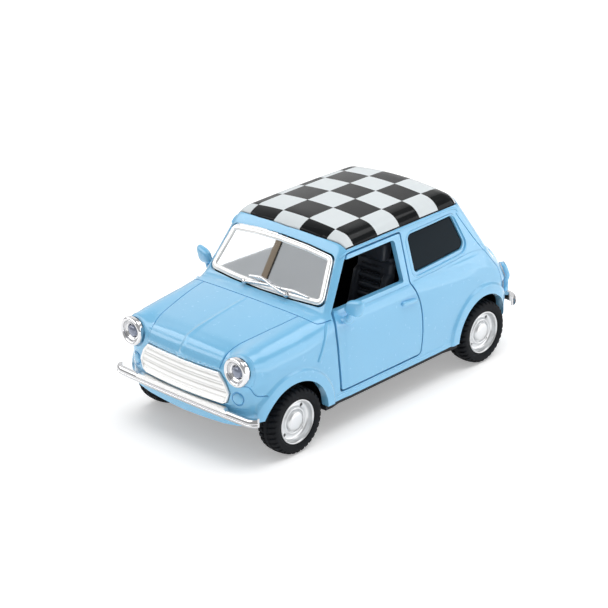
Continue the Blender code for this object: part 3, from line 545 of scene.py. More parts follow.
def chequer_material():
    """Squares across the car's width and along its length, as a print on the roof."""
    look = Look("chequer_print")
    spot = look.add("SeparateXYZ", vector=look.add("TexCoord").outputs["Object"]).outputs

    def scaled(value, factor, offset):
        made = look.add("Math")
        made.operation = "MULTIPLY_ADD"
        look.feed(made, {0: value, 1: factor, 2: offset})
        return made.outputs["Value"]
    across_count = scaled(spot["X"], 1 / (CHEQUER_WIDTH * MM), CHEQUER_SHIFT)
    run = scaled(spot["Y"], 1 / MM, ORIGIN_V - CHEQUER_V)
    along_count = scaled(run, scaled(run, CHEQUER_CLOSING, 1 / CHEQUER_RUN), 0.0)
    counts = look.add("CombineXYZ", x=across_count, y=along_count, z=0.5)
    squares = look.add("TexChecker", vector=counts.outputs["Vector"], scale=1.0,
                       color1=(0.72, 0.77, 0.79, 1.0), color2=(0.004, 0.005, 0.006, 1.0))
    look.feed(look.shader, {"Base Color": squares.outputs["Color"], "Roughness": 0.12,
                            "Specular IOR Level": 0.12, "Coat Weight": 0.1, "Coat Roughness": 0.04})
    look.bump(300.0, 2.0, 0.00001, 0.4)
    return look.material


def chrome_material(name, shade, low, high):
    """Bare or plated metal."""
    look = Look(name)
    look.shades(200.0, tuple(0.96 * c for c in shade), shade)
    look.roughness(700.0, low, high)
    look.feed(look.shader, {"Metallic": 1.0})
    look.bump(500.0, 2.0, 0.000002, 0.4)
    return look.material


def plastic_material(name, colour, low, high, grain=2500.0, depth=0.00002, gloss=0.5):
    look = Look(name)
    look.shades(350.0, colour, tuple(min(c * 1.35 + 0.002, 1.0) for c in colour))
    look.roughness(1200.0, low, high)
    look.feed(look.shader, {"Specular IOR Level": gloss})
    look.bump(grain, 4.0, depth, 0.6, 0.0001)
    return look.material


def glass_material(name, colour, roughness, metallic=0.0, coat=0.5):
    look = Look(name)
    look.shades(90.0, tuple(0.92 * c for c in colour), colour)
    look.feed(look.shader, {"Roughness": roughness, "Metallic": metallic, "Coat Weight": coat,
                            "Coat Roughness": 0.03, "Specular IOR Level": coat})
    look.bump(180.0, 2.0, 0.00001, 0.3)
    return look.material


def stage_material(name, scale, first, second, roughness, specular, glow):
    """A plain surface of the stage that also glows white."""
    look = Look(name)
    look.shades(scale, first, second)
    look.feed(look.shader, {"Roughness": roughness, "Specular IOR Level": specular,
                            "Emission Color": (1.0, 1.0, 1.0, 1.0), "Emission Strength": glow})
    return look.material


PAINT = paint_material()
CHEQUER = chequer_material()
CHROME = chrome_material("chrome_plating", (0.74, 0.74, 0.75), 0.05, 0.12)
BRIGHT = chrome_material("bright_plating", (0.84, 0.84, 0.83), 0.28, 0.36)
BUMPER_CHROME = chrome_material("bumper_plating", (0.63, 0.63, 0.64), 0.04, 0.09)
SILVER = chrome_material("silver_wheel", (0.70, 0.71, 0.72), 0.26, 0.34)
STEEL = chrome_material("steel", (0.56, 0.56, 0.57), 0.25, 0.4)
SPRING = chrome_material("spring_steel", (0.30, 0.32, 0.38), 0.25, 0.4)
BLACK = plastic_material("black_plastic", (0.007, 0.008, 0.010), 0.38, 0.52, gloss=0.2)
TRIM = plastic_material("black_trim", (0.045, 0.052, 0.066), 0.32, 0.42, 5000.0, 0.00003)
RUBBER = plastic_material("tyre_rubber", (0.007, 0.008, 0.010), 0.55, 0.70, 3500.0, 0.00004, 0.1)
NYLON = plastic_material("white_nylon", (0.80, 0.80, 0.77), 0.35, 0.5)
SMOKED = glass_material("smoked_glass", (0.005, 0.013, 0.020), 0.05, 0.0, 0.04)
MIRRORED = glass_material("mirrored_glass", (0.88, 0.90, 0.92), 0.03, 1.0)
LAMP_GLASS = glass_material("dark_lens", (0.22, 0.25, 0.34), 0.06, 0.35, 0.8)


# ---------------------------------------------------------------- outlines shared with the CAD

DOOR_OUTLINE = rounded(
    [(14.0, 9.75), (41.2, 9.75), (41.85, 14.5), (41.75, 19.5), (41.3, 23.3), (40.4, 25.9), (39.35, 28.0),
     (39.0, 39.9), (21.3, 39.9), (20.2, 38.4), (13.6, 28.6), (13.0, 25.0), (13.2, 18.0)],
    [0.9, 1.4, 40, 40, 20, 9, 3, 0.8, 0.7, 0, 0.8, 20, 40])
DOOR_WINDOW = rounded([(12.5, 28.75), (37.3, 28.6), (36.6, 38.6), (20.5, 38.6), (14.5, 36.0)],
                      [0, 0.5, 0.9, 0, 0])
QUARTER_WINDOW = rounded([(41.8, 29.6), (60.0, 30.2), (56.8, 38.2), (41.4, 38.1)], [0.7, 1.4, 1.1, 1.1])
ROOF_PLAN = rounded([(-18.0, 21.7), (-9.0, 20.9), (0.0, 20.6), (9.0, 20.9), (18.0, 21.7), (17.9, 59.6),
                     (9.0, 60.4), (0.0, 60.6), (-9.0, 60.4), (-17.9, 59.6)],
                    [2.2, 30, 40, 30, 2.2, 2.2, 30, 40, 30, 2.2])
ROOF_EDGE = 57.5
ROOF_AXIS_Z = 30.0
SCREEN_CORNERS = [(-18.0, 1.83), (-9.0, 1.13), (0.0, 0.9), (9.0, 1.13), (18.0, 1.83),
                  (15.7, 13.0), (8.0, 13.65), (0.0, 13.87), (-8.0, 13.65), (-15.7, 13.0)]
SCREEN_BORDER = 1.35
REAR_WINDOW = rounded([(-14.0, 2.2), (14.0, 2.2), (12.3, 11.6), (-12.3, 11.6)], 1.6)
GRILLE_OUTLINE = [(-12.3, 13.9), (12.3, 13.9), (13.4, 14.5), (14.2, 16.7), (13.0, 19.3), (11.4, 21.1),
                  (-11.4, 21.1), (-13.0, 19.3), (-14.2, 16.7), (-13.4, 14.5)]


def screen_outline(change):
    corner = max(1.4 + change * 0.6, 0.4)
    radii = [corner, 30, 30, 30, corner]
    return rounded(grown(SCREEN_CORNERS, change), radii + radii)


# ---------------------------------------------------------------- the shell

def skin_rays(inner=False):
    """Rays from inside the car to its skin, one row for each station from nose to tail."""
    coarse = 3 if inner else 1
    nose = list(np.linspace(90, 60, 13 // coarse)) + list(np.linspace(58.5, 1.5, 39 // coarse))
    middle = list(np.linspace(-4, 12.6, 51 // coarse)) + list(np.linspace(13.4, 50.6, 43 // coarse))
    middle += list(np.linspace(51.5, 66, 42 // coarse))
    tail = list(np.linspace(-2.2, -90, 40 // coarse))
    stations = [(-4.0, radians(t)) for t in nose] + [(v, 0.0) for v in middle]
    stations += [(66.0, radians(t)) for t in tail]
    levels = list(np.linspace(SILL_Z, 17.7, 31 // coarse))
    lifts = np.radians(np.linspace(0, 90, 76 // coarse))
    starts, rays = [], []
    for v, turn in stations:
        row = [((13 * cos(turn), v, z), (cos(turn), -sin(turn), 0.0)) for z in levels]
        for lift in lifts:
            start = (13 * cos(lift) * cos(turn), v, 18 + 5 * sin(lift) * cos(turn))
            row.append((start, (cos(turn) * cos(lift), -sin(turn), cos(turn) * sin(lift))))
        starts.append([s for s, _ in row])
        rays.append([r for _, r in row])
    return np.array(starts, float), np.array(rays, float)


def closed_skin(name, half, finish=None):
    """A solid from one half of a skin grid: mirrored, and capped level along its lower rim."""
    rows, columns = half.shape[:2]
    count = rows * columns
    points = np.concatenate([half.reshape(-1, 3), (half * [-1, 1, 1]).reshape(-1, 3)])
    faces = grid_faces(rows, columns) + grid_faces(rows, columns, count)
    rim = [i * columns for i in range(rows)]
    rim += [count + i * columns for i in range(rows - 2, 0, -1)]
    return mesh_object(name, points, faces + [tuple(rim)], finish)


def make_blank():
    """The hollow shell before any opening is cut."""
    blank = closed_skin("blank", project(*skin_rays()), PAINT)
    plain = project(*skin_rays(inner=True), field=plain_body)
    inward = -skin_normals(plain, plain_body)
    inward[:, 0, 2] = 0.0
    inner = plain + inward * WALL
    foot = inner[:, :1] - [0.0, 0.0, 3.0]
    core = closed_skin("core", np.concatenate([foot, inner], axis=1))
    return cut(blank, core)


# Faces deeper than this inside the skin are coloured black. This is painted shade: the inner walls of the
# openings are body colour but fall dark.
PAINTED_SHADE_DEPTH = -0.6          # paint reaches this far into an opening
TINY_FACE = 0.003


def mesh_values(items, name, width=1, kind=float):
    """One attribute of all of a mesh's items, as an array."""
    values = np.zeros(len(items) * width, kind)
    items.foreach_get(name, values)
    return values.reshape(-1, width) if width > 1 else values


def polish(made, field=body, tolerance=0.03, finish=PAINT):
    """Exact surface normals on the skin, so that facets don't show, and black painted shade on the faces
    deep inside the openings.
    """
    mesh = made.data
    mesh.shade_smooth()
    mesh.set_sharp_from_angle(angle=radians(30))
    mesh.materials.clear()
    mesh.materials.append(finish)
    points = mesh_values(mesh.vertices, "co", 3) / MM + [0.0, ORIGIN_V, 0.0]
    height = field(points[:, 0], points[:, 1], points[:, 2])
    normals = skin_normals(points, field)
    corners = mesh_values(mesh.loops, "vertex_index", kind=int)
    areas = mesh_values(mesh.polygons, "area")
    flat = mesh_values(mesh.polygons, "normal", 3)
    owner = np.repeat(np.arange(len(areas)), mesh_values(mesh.polygons, "loop_total", kind=int))

    def all_corners(condition):
        whole = np.ones(len(areas), bool)
        np.logical_and.at(whole, owner, condition)
        return whole
    if finish is PAINT:
        # Painted shade: the shell's deep inner faces take the black material, standing in for the shade
        # inside the openings.
        mesh.materials.append(BLACK)
        painted_shade = all_corners((height < PAINTED_SHADE_DEPTH)[corners])
        mesh.polygons.foreach_set("material_index", painted_shade.astype(int))
    else:
        mesh.polygons.foreach_set("material_index", np.zeros(len(areas), int))
    facing = (normals[corners] * flat[owner]).sum(-1) > 0.75
    tiny = (areas < TINY_FACE * MM * MM)[owner]
    on_surface = all_corners((np.abs(height) < tolerance)[corners] & (facing | tiny))
    wanted = np.where(on_surface[owner][:, None], normals[corners], 0.0)
    mesh.normals_split_custom_set([tuple(n) for n in wanted])
    return made


def duplicate(source, name):
    made = source.copy()
    made.data = source.data.copy()
    made.name = name
    bpy.context.collection.objects.link(made)
    return made


def mirror_copy(source, name):
    made = duplicate(source, name)
    made.data.transform(Matrix.Diagonal((-1, 1, 1, 1)))
    made.data.flip_normals()
    return made


BONNET_SIDE = [(11.45, -12.6, 21.9), (11.5, -12.2, 22.8), (11.6, -11.5, 23.9), (11.85, -10.3, 25.0),
               (12.25, -8.6, 25.9), (12.75, -6.2, 26.5), (13.4, -3.0, 27.0), (14.1, 0.8, 27.6),
               (14.7, 4.4, 28.0), (15.1, 8.1, 28.4)]
BONNET_REAR = [(15.1, 8.1, 28.4), (11.0, 7.8, 28.7), (7.0, 7.55, 28.9), (0.0, 7.4, 29.0),
               (-7.0, 7.55, 28.9), (-11.0, 7.8, 28.7), (-15.1, 8.1, 28.4)]
SCUTTLE_SIDE = [(15.1, 8.1, 28.4), (16.6, 8.2, 28.25), (18.1, 8.4, 28.0), (19.0, 8.8, 27.7),
                (19.7, 9.4, 27.4)]
A_SEAM_TOP = [(19.7, 9.4, 27.4), (20.1, 11.0, 27.4), (20.4, 12.9, 27.4)]
A_SEAM = [(20.4, 11.6, 27.0), (21.1, 10.5, 25.6), (21.7, 9.2, 23.0), (21.9, 7.8, 20.5), (22.0, 7.2, 19.6)]
REAR_SEAM = [(17.5, 58.6, 38.6), (17.8, 59.3, 37.4), (18.8, 62.8, 32.1), (19.5, 66.1, 27.7),
             (19.75, 69.0, 24.0), (19.8, 70.6, 21.7), (20.4, 71.9, 17.2), (20.2, 73.2, 13.0),
             (20.0, 73.6, 9.8)]
LAMP_SEAM = [(17.3, -12.3, 19.2), (18.6, -11.6, 19.3), (19.2, -11.1, 18.6), (19.5, -10.4, 17.4),
             (20.0, -9.6, 16.8), (20.6, -8.5, 16.7), (21.0, -7.8, 16.5)]
NACELLE_LINE = [(17.6, -10.9, 26.3), (18.76, -10.4, 25.38), (19.8, -10.6, 24.1), (20.2, -10.7, 22.4),
                (20.0, -10.8, 20.6), (19.4, -11.0, 19.4)]
GUTTER_LINE = [(16.9, 19.6, 39.0), (17.2, 20.6, 39.7), (17.4, 23.0, 40.15), (17.5, 30.0, 40.3),
               (17.5, 40.0, 40.35), (17.5, 50.0, 40.3), (17.4, 56.0, 40.1), (17.3, 58.4, 39.7),
               (17.5, 59.3, 38.9)]
QUARTER_LINE = [(20.5, 40.3, 27.95), (20.5, 50.0, 28.2), (20.3, 61.5, 28.6), (19.8, 67.0, 27.6)]
DOOR_LINE = [(20.8, 14.9, 27.85), (20.8, 25.0, 27.8), (20.8, 38.7, 27.75)]
SHELF_LINE = [(13.4, -12.7, 13.6), (16.0, -12.2, 13.6), (18.6, -11.1, 13.7)]


def indicator_ring():
    return [(x, INDICATOR[1], z) for x, z in circle(1.5, 24, (INDICATOR[0], INDICATOR[2]))]


def quarter_lip():
    return [(20.0, v, z) for v, z in resampled(grown(QUARTER_WINDOW, 1.2), 0.4, closed=True)]


def make_body(blank):
    """The painted casting: the blank with its openings, shut lines, seams and mouldings."""
    shell = duplicate(blank, "body_paint")
    tools = []
    for side in (1.0, -1.0):
        depth = (side * 12.0, side * 30.0)
        tools.append(prism("door_hole", DOOR_OUTLINE, depth, across))
        tools.append(prism("quarter_hole", grown(QUARTER_WINDOW, 0.22), depth, across))
        rays = sheet_rays(across, np.linspace(38, 64, 40), np.linspace(27.5, 40.5, 24), side * 8, side)
        step = slab("quarter_step", *rays, 2.0, -0.3)
        edge = prism("quarter_step_edge", grown(QUARTER_WINDOW, 0.95), depth, across)
        tools.append(cut(step, edge, "INTERSECT"))
        lamp = (side * HEADLIGHT[0], HEADLIGHT[1])
        tools.append(prism("headlight_hole", circle(2.9, 32, lamp), (-16.0, -8.5), lengthways))
        tools.append(prism("headlight_seat", circle(3.75, 48, lamp), (-16.0, -12.05), lengthways))
        for v in ARCH_V:
            tools.append(prism("arch", circle(ARCH_RADIUS, 96, (v, AXLE_Z)), (side * 10, side * 30), across))
    tools.append(prism("screen_hole", screen_outline(0.38), (-8.0, 8.0), on_screen))
    tools.append(prism("rear_hole", grown(REAR_WINDOW, GAP), (-8.0, 8.0), on_tailgate))
    tools.append(prism("grille_hole", grown(GRILLE_OUTLINE, 0.12), (-16.0, -9.5), lengthways))
    recess = slab("roof_recess", *roof_rays(ROOF_EDGE + 1.0), 2.5, -0.85)
    plan = prism("roof_recess_plan", grown(ROOF_PLAN, 0.28), (36.0, 50.0), upright)
    tools.append(cut(recess, plan, "INTERSECT"))
    valance = [(-26, 0), (26, 0), (26, 11.2), (20.6, 10.9), (17.5, 9.6), (12.0, 8.9), (0.0, 8.6),
               (-12.0, 8.9), (-17.5, 9.6), (-20.6, 10.9), (-26, 11.2)]
    tools.append(prism("valance_trim", valance, (-20.0, -3.0), lengthways))
    tools.append(prism("rear_valance_trim", valance, (74.0, 90.0), lengthways))
    tools.append(groove(BONNET_REAR, 0.24, 0.3))
    for flip in (list, mirrored):
        for path in (BONNET_SIDE, SCUTTLE_SIDE, A_SEAM_TOP, REAR_SEAM, LAMP_SEAM):
            tools.append(groove(flip(path), 0.24, 0.3))
    for flip in (list, mirrored):
        tools.append(groove(flip(SHELF_LINE), 0.2, 0.12))
        tools.append(groove(flip(NACELLE_LINE), 0.3, 0.1))
        tools.append(groove(flip(QUARTER_LINE), 0.2, 0.09))
        tools.append(groove(flip(indicator_ring()), 0.34, 0.3, closed=True))
    for tool in tools:
        cut(shell, tool)
    for flip in (list, mirrored):
        cut(shell, bead(flip(GUTTER_LINE), 0.5, 0.26), "UNION")
        cut(shell, bead(flip(A_SEAM), 0.95, 0.4), "UNION")
        cut(shell, bead(flip(quarter_lip()), 0.45, 0.12, closed=True), "UNION")
    return polish(shell)


def roof_rays(edge):
    """Rays fanned about a line inside the cabin, up to an angle either side of upright."""
    turns = np.radians(np.linspace(-edge, edge, 61))
    stations = np.concatenate([np.linspace(start, end, 14)
                               for start, end in ((19.2, 24.0), (25.0, 56.0), (57.0, 62.2))])
    starts = np.array([[(0.0, v, ROOF_AXIS_Z)] * len(turns) for v in stations])
    rays = np.array([[(sin(t), 0.0, cos(t)) for t in turns]] * len(stations))
    return starts, rays


def make_roof():
    panel = slab("roof_chequer", *roof_rays(ROOF_EDGE), 0.03, -0.5, CHEQUER)
    return cut(panel, prism("roof_plan", ROOF_PLAN, (36.0, 50.0), upright), "INTERSECT")


def make_door(blank):
    """The left door's painted casting; the right one is its mirror image."""
    door = duplicate(blank, "left_door_paint")
    hinge_room = 0.25           # the shut line is wider along the hinged edge
    leaf = [(v + hinge_room * (v < 17), z) for v, z in grown(DOOR_OUTLINE, -GAP)]
    cut(door, prism("door_outline", leaf, (12.0, 30.0), across), "INTERSECT")
    cut(door, prism("door_window", DOOR_WINDOW, (12.0, 30.0), across))
    cut(door, groove(DOOR_LINE, 0.2, 0.09))
    cut(door, make_handle(), "UNION")
    return polish(door)


def show(made, body_name, slot_name, *nodes):
    """Ties a piece to its body and hides the CAD nodes that it stands for. The slot name is not used."""
    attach(made, body_name)
    if nodes:
        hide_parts(*nodes)
    return made


# ---------------------------------------------------------------- windows

def over_screen(route):
    """Skin points over (x, distance up the screen), with the screen's outward direction."""
    starts = np.array([[on_screen(a, b, -6.0) for a, b in route]])
    ray = sheet_rays(on_screen, [0.0], [0.0], 0.0, 1.0)[1][0, 0]
    return project(starts, np.broadcast_to(ray, starts.shape), field=plain_body)[0], ray


def screen_path(change):
    """The windscreen outline on the skin, grown by a distance, with its sideways and outward axes."""
    points, _ = over_screen(resampled(screen_outline(change), 0.4, closed=True))
    up = skin_normals(points, plain_body)
    run = np.roll(points, -1, axis=0) - np.roll(points, 1, axis=0)
    return points, unit(np.cross(run, up)), up


def make_windscreen_frame():
    """A bright surround: a broad rolled bead with a fine lip outside it."""
    half = SCREEN_BORDER / 2
    broad = half - 0.1
    section = [(half, -1.0), (half, 0.02), (half - 0.05, 0.12), (half - 0.16, 0.13), (half - 0.22, 0.04)]
    section += [(-0.1 + broad * cos(t), 0.06 + 0.3 * sin(t)) for t in np.linspace(0.2, pi - 0.5, 9)]
    section += [(-half + 0.02, 0.12), (-half, 0.02)]
    section += [(-half, -1.0)]
    return sweep("screen_surround", *screen_path(-half), section, BRIGHT, closed=True, angle=50)


def make_windscreen():
    rays = sheet_rays(on_screen, np.linspace(-18.6, 18.6, 75), np.linspace(0.4, 14.4, 33), -6.0, 1.0)
    glass = slab("screen_mirror_glass", *rays, -0.1, -0.9, MIRRORED)
    edge = prism("screen_pane", screen_outline(-SCREEN_BORDER + 0.2), (-8.0, 8.0), on_screen)
    return polish(cut(glass, edge, "INTERSECT"), glass_face, 0.06, MIRRORED)


def glass_face(x, v, z):
    return plain_body(x, v, z) + 0.1


def make_rear_window():
    rays = sheet_rays(on_tailgate, np.linspace(-16, 16, 49), np.linspace(0, 13, 21), -6.0, 1.0)
    glass = slab("rear_smoked_glass", *rays, -0.4, -1.2, SMOKED)
    return cut(glass, prism("rear_pane", REAR_WINDOW, (-8.0, 8.0), on_tailgate), "INTERSECT")


def make_quarter_window(label, side):
    rays = sheet_rays(across, np.linspace(40, 62, 45), np.linspace(28.8, 39.2, 25), side * 8, side)
    glass = slab(f"quarter_smoked_glass_{label}", *rays, -0.62, -1.3, SMOKED)
    edge = prism(f"{label}_quarter_pane", QUARTER_WINDOW, (side * 10, side * 30), across)
    return cut(glass, edge, "INTERSECT")


def strip(name, route, lift, width, height, finish):
    """A rounded bar along a route over the windscreen. Width may change along it."""
    points, up = over_screen(route)
    points = spline(points + up * np.asarray(lift)[:, None], 6)
    widths = np.interp(np.linspace(0, 1, len(points)), np.linspace(0, 1, len(width)), width)
    side = unit(np.cross(np.gradient(points, axis=0), up))
    rings = []
    for p, s, w in zip(points, side, widths):
        rings += [p + s * w / 2 * cos(t) + up * height / 2 * sin(t) for t in round_turn(10)]
    return mesh_object(name, rings, ring_faces(len(points), 10), finish, 60)


# For each side: an arm and a blade as (x, distance up the screen), and the arm's height over the glass.
WIPERS = {
    1.0: ([(8.0, 1.5), (4.7, 2.05), (1.2, 2.95), (-0.4, 3.2)],
          [(3.2, 2.62), (-0.2, 3.1), (-3.7, 2.75)], 1.25),
    -1.0: ([(-4.8, 1.25), (-1.5, 1.75), (2.4, 2.2), (6.0, 2.45)],
           [(4.6, 2.2), (9.4, 2.75), (14.0, 2.6)], 0.75),
}


def make_wiper(label, side):
    """A spindle boss, a slim arm, and a blade in its carrier. The arms cross at different heights."""
    arm, blade, lift = WIPERS[side]
    pieces = [strip("arm", arm, [0.9, lift, lift, lift], [0.75, 0.6, 0.45], 0.4, CHROME),
              strip("carrier", blade, [lift - 0.1] * 3, [0.5, 0.85, 0.5], 0.35, CHROME),
              strip("blade", blade, [lift - 0.4] * 3, [0.3, 0.3], 0.5, CHROME)]
    centre, up = over_screen(arm[:1])
    spindle = [(0.0, 0.0), (0.0, 0.62), (0.75, 0.6), (1.05, 0.42), (1.15, 0.0)]
    across_up = np.cross(up, [1.0, 0.0, 0.0])

    def frame_of(a, b, along):
        return tuple(centre[0] + np.array([a, 0.0, 0.0]) + across_up * b + up * (along + 0.2))
    pieces.append(turned("boss", spindle, 20, frame_of, CHROME))
    return joined(pieces, f"wiper_{label}_plated", 60)


# ---------------------------------------------------------------- grille, lamps and bumpers

def edge_distance(outline, a, b):
    """How far inside a convex outline each point lies."""
    turn = winding(outline)
    nearest = np.full(np.broadcast(a, b).shape, 1e9)
    for p, q in zip(outline, outline[1:] + outline[:1]):
        length = hypot(q[0] - p[0], q[1] - p[1])
        along = ((q[0] - p[0]) * (b - p[1]) - (q[1] - p[1]) * (a - p[0])) / length
        nearest = np.minimum(nearest, along * turn)
    return nearest


def dome(distance, half):
    """A half-round ridge's height, as a share of its full height."""
    return np.sqrt(above(1 - (distance / half) ** 2))


GRILLE_RIBS = (19.55, 17.95, 16.35, 15.2)
GRILLE_BEADS = (20.4, 18.75, 17.15, 14.45)


def grille_relief(x, z):
    """A rolled rim, smooth ribs, and rows of fine beads between them."""
    inside = edge_distance(GRILLE_OUTLINE, x, z)
    height = 0.1 + np.zeros_like(x * z)
    field = ramp((inside - 0.62) / 0.12)
    for level in GRILLE_RIBS:
        height = np.maximum(height, 0.1 + 0.26 * dome(z - level, 0.6) * field)
    for level in GRILLE_BEADS:
        beads = 0.45 + 0.55 * np.abs(np.cos(x * pi / 0.42))
        height = np.maximum(height, 0.1 + 0.24 * dome(z - level, 0.3) * beads * field)
    return np.maximum(height, 0.1 + 0.5 * dome(inside - 0.32, 0.4))


def relief_rays(a_values, b_values):
    return sheet_rays(lengthways, a_values, b_values, 0.0, -1.0)


def make_grille():
    a_values, b_values = np.linspace(-14.5, 14.5, 277), np.linspace(13.6, 21.4, 88)
    height = grille_relief(*np.meshgrid(a_values, b_values))[..., None]
    made = slab("grille_plated", *relief_rays(a_values, b_values), height, -1.0, BRIGHT)
    outline = rounded(GRILLE_OUTLINE, 0.5, 3)
    return cut(made, prism("grille_edge", outline, (-18.0, -9.0), lengthways), "INTERSECT")


def lamp_frame(side):
    def frame_of(a, b, along):
        return (side * (HEADLIGHT[0] + a), along, HEADLIGHT[1] + b)
    return frame_of


def make_headlight_bezel(label, side):
    """A fat rolled bezel, a stepped reflector and a fine inner ring."""
    profile = [(-9.6, 2.75), (-12.3, 2.75), (-12.3, 3.38), (-12.75, 3.42)]
    profile += [(-12.95 - 0.62 * sin(t), 2.93 + 0.5 * cos(t)) for t in np.linspace(0, pi, 13)]
    profile += [(-12.75, 2.4), (-12.62, 2.3), (-12.7, 2.2), (-12.85, 2.05), (-12.88, 1.9), (-12.75, 1.7),
                (-12.45, 1.5), (-12.1, 1.44), (-12.1, 1.2), (-9.6, 1.2)]
    return turned(f"bezel_{label}_plated", profile, 96, lamp_frame(side), CHROME, angle=40)


def make_headlight_lens(label, side):
    """A domed dark lens on a short skirt."""
    profile = [(-11.4, 0.0), (-11.4, 1.1), (-12.15, 1.12), (-12.2, 1.36), (-12.6, 1.36)]
    profile += [(-12.65 - 0.7 * cos(t), 1.3 * sin(t)) for t in np.linspace(pi / 2, 0, 13)]
    return turned(f"lens_{label}_clear", profile, 48, lamp_frame(side), LAMP_GLASS, angle=60)


def make_indicator(label, side):
    """A body-colour disc moulded into the front panel beside the grille."""
    x, v, z = INDICATOR
    centre = on_skin(np.array([[side * x, v, z]]), plain_body)[0]
    out = skin_normals(centre[None], plain_body)[0]
    level = unit(np.cross([0.0, 0.0, 1.0], out))
    rise = np.cross(out, level)

    def frame_of(a, b, along):
        return tuple(centre + level * a + rise * b + out * along)
    profile = [(-0.4, 0.0), (-0.4, 1.3), (0.05, 1.3), (0.2, 1.22), (0.3, 1.0), (0.38, 0.5), (0.4, 0.0)]
    return turned(f"indicator_{label}", profile, 40, frame_of, PAINT, angle=60)


BUMPER_FRONT_V, BUMPER_REAR_V, BUMPER_BOW = -14.8, 80.8, 0.001
BUMPER_HEIGHTS = np.linspace(0, 1, 41)
BUMPER_ROLL = (0.72 * np.sqrt(np.sin(pi * BUMPER_HEIGHTS))
               - 0.2 * np.exp(-((BUMPER_HEIGHTS - 0.54) / 0.055) ** 2))
BUMPER_SECTION = [(-0.6, 12.2), *zip(BUMPER_ROLL, 12.25 - 2.35 * BUMPER_HEIGHTS), (-0.5, 9.95)]


def bumper_path(reach, front, bow, corner, tuck):
    """Plan of a bumper: a gentle bow whose ends curl back by the tuck over the last corner length."""
    path = []
    for x in np.sin(np.linspace(-pi / 2, pi / 2, 121)) * reach:
        share = above(abs(x) - (reach - corner)) / corner
        path.append((x, front + bow * x ** 2 + (1 - np.sqrt(1 - min(share, 0.97) ** 2)) * tuck))
    return path


def bar_along(name, path, section, finish):
    """A section of (outwards, height) carried along a plan."""
    path = np.array(path)
    run = unit(np.gradient(path, axis=0))
    out = np.stack([run[:, 1], -run[:, 0]], axis=1)
    points = [(*(p + o * a), b) for p, o in zip(path, out) for a, b in section]
    return mesh_object(name, points, ring_faces(len(path), len(section)), finish, 40)


def tray_relief(x, z):
    """A row of fine upright ribs over a smooth rounded border."""
    ribs = 0.5 + 0.5 * np.cos(x * tau / 0.55)
    field = ramp((13.2 - np.abs(x)) / 0.2) * ramp((z - 12.75) / 0.1) * ramp((13.4 - z) / 0.1)
    border = 0.2 * dome(z - 12.5, 0.3) + 0.12 * dome(z - 13.52, 0.14)
    return 0.42 + border * (1 - field) + 0.16 * ribs * field


def bumper_face(x, v, z):
    return BUMPER_FRONT_V + 0.8 + BUMPER_BOW * x ** 2 - v


def make_front_bumper():
    """A rolled blade with a groove along it, and a ribbed tray on top of its middle."""
    section = [(a, 12.0 + 0.9 * (b - 11.08)) for a, b in BUMPER_SECTION]
    blade = bar_along("bumper_blade", bumper_path(22.2, BUMPER_FRONT_V + 0.8, BUMPER_BOW, 2.4, 1.55),
                      section, BUMPER_CHROME)
    a_values, b_values = np.linspace(-15.0, 15.0, 421), np.linspace(12.15, 13.7, 24)
    height = tray_relief(*np.meshgrid(a_values, b_values))[..., None]
    tray = slab("bumper_tray", *relief_rays(a_values, b_values), height, -0.5, BRIGHT, bumper_face)
    outline = rounded([(-14.9, 12.25), (14.9, 12.25), (13.7, 13.6), (-13.7, 13.6)], [0.3, 0.3, 0.8, 0.8])
    cut(tray, prism("tray_edge", outline, (-18.0, -9.0), lengthways), "INTERSECT")
    return joined([blade, tray], "front_bumper_plated", 40)


def make_rear_bumper():
    path = [(-x, -v) for x, v in bumper_path(20.2, -BUMPER_REAR_V + 0.5, 0.0036, 3.0, 2.4)]
    return bar_along("rear_bumper_plated", path, BUMPER_SECTION, BUMPER_CHROME)


TAIL_LAMP = (15.2, 70.0)    # x and v behind a lamp's middle
LAMP_TURN = radians(27)     # how far the tail lamps face outwards


def make_tail_lamp(label, side):
    """A rounded plate on the rear corner, with a lens panel moulded in its face."""
    def frame_of(a, b, along):
        x = TAIL_LAMP[0] + a * cos(LAMP_TURN) + along * sin(LAMP_TURN)
        return (side * x, TAIL_LAMP[1] - a * sin(LAMP_TURN) + along * cos(LAMP_TURN), b)
    a_values, b_values = np.linspace(-2.2, 2.2, 45), np.linspace(13.8, 22.4, 87)
    a, b = np.meshgrid(a_values, b_values)
    outline = rounded([(-1.7, 13.6), (1.7, 13.6), (1.7, 21.0), (-1.7, 21.0)], 1.2, 6)
    inside = edge_distance(outline, a, b)
    height = 0.9 + 0.6 * np.sqrt(1 - (1 - np.clip(inside / 0.6, 0, 1)) ** 2)
    height = height - 0.18 * dome(inside - 0.62, 0.14)
    height = height - 0.16 * dome(b - 16.4, 0.13) * ramp((inside - 0.6) / 0.1)
    rays = sheet_rays(frame_of, a_values, b_values, -3.0, 1.0)
    lamp = slab(f"tail_lamp_{label}_moulded", *rays, height[..., None], 0.3, PAINT)
    return cut(lamp, prism("lamp_edge", outline, (-4.0, 14.0), frame_of), "INTERSECT")


# ---------------------------------------------------------------- wheels

TYRE_RADIUS = 7.8
WHEEL_X = 19.6
TREAD_BLOCKS = 34


def wheel_frame(side, v):
    def frame_of(a, b, along):
        return (side * (WHEEL_X + along), v + a, AXLE_Z + b)
    return frame_of


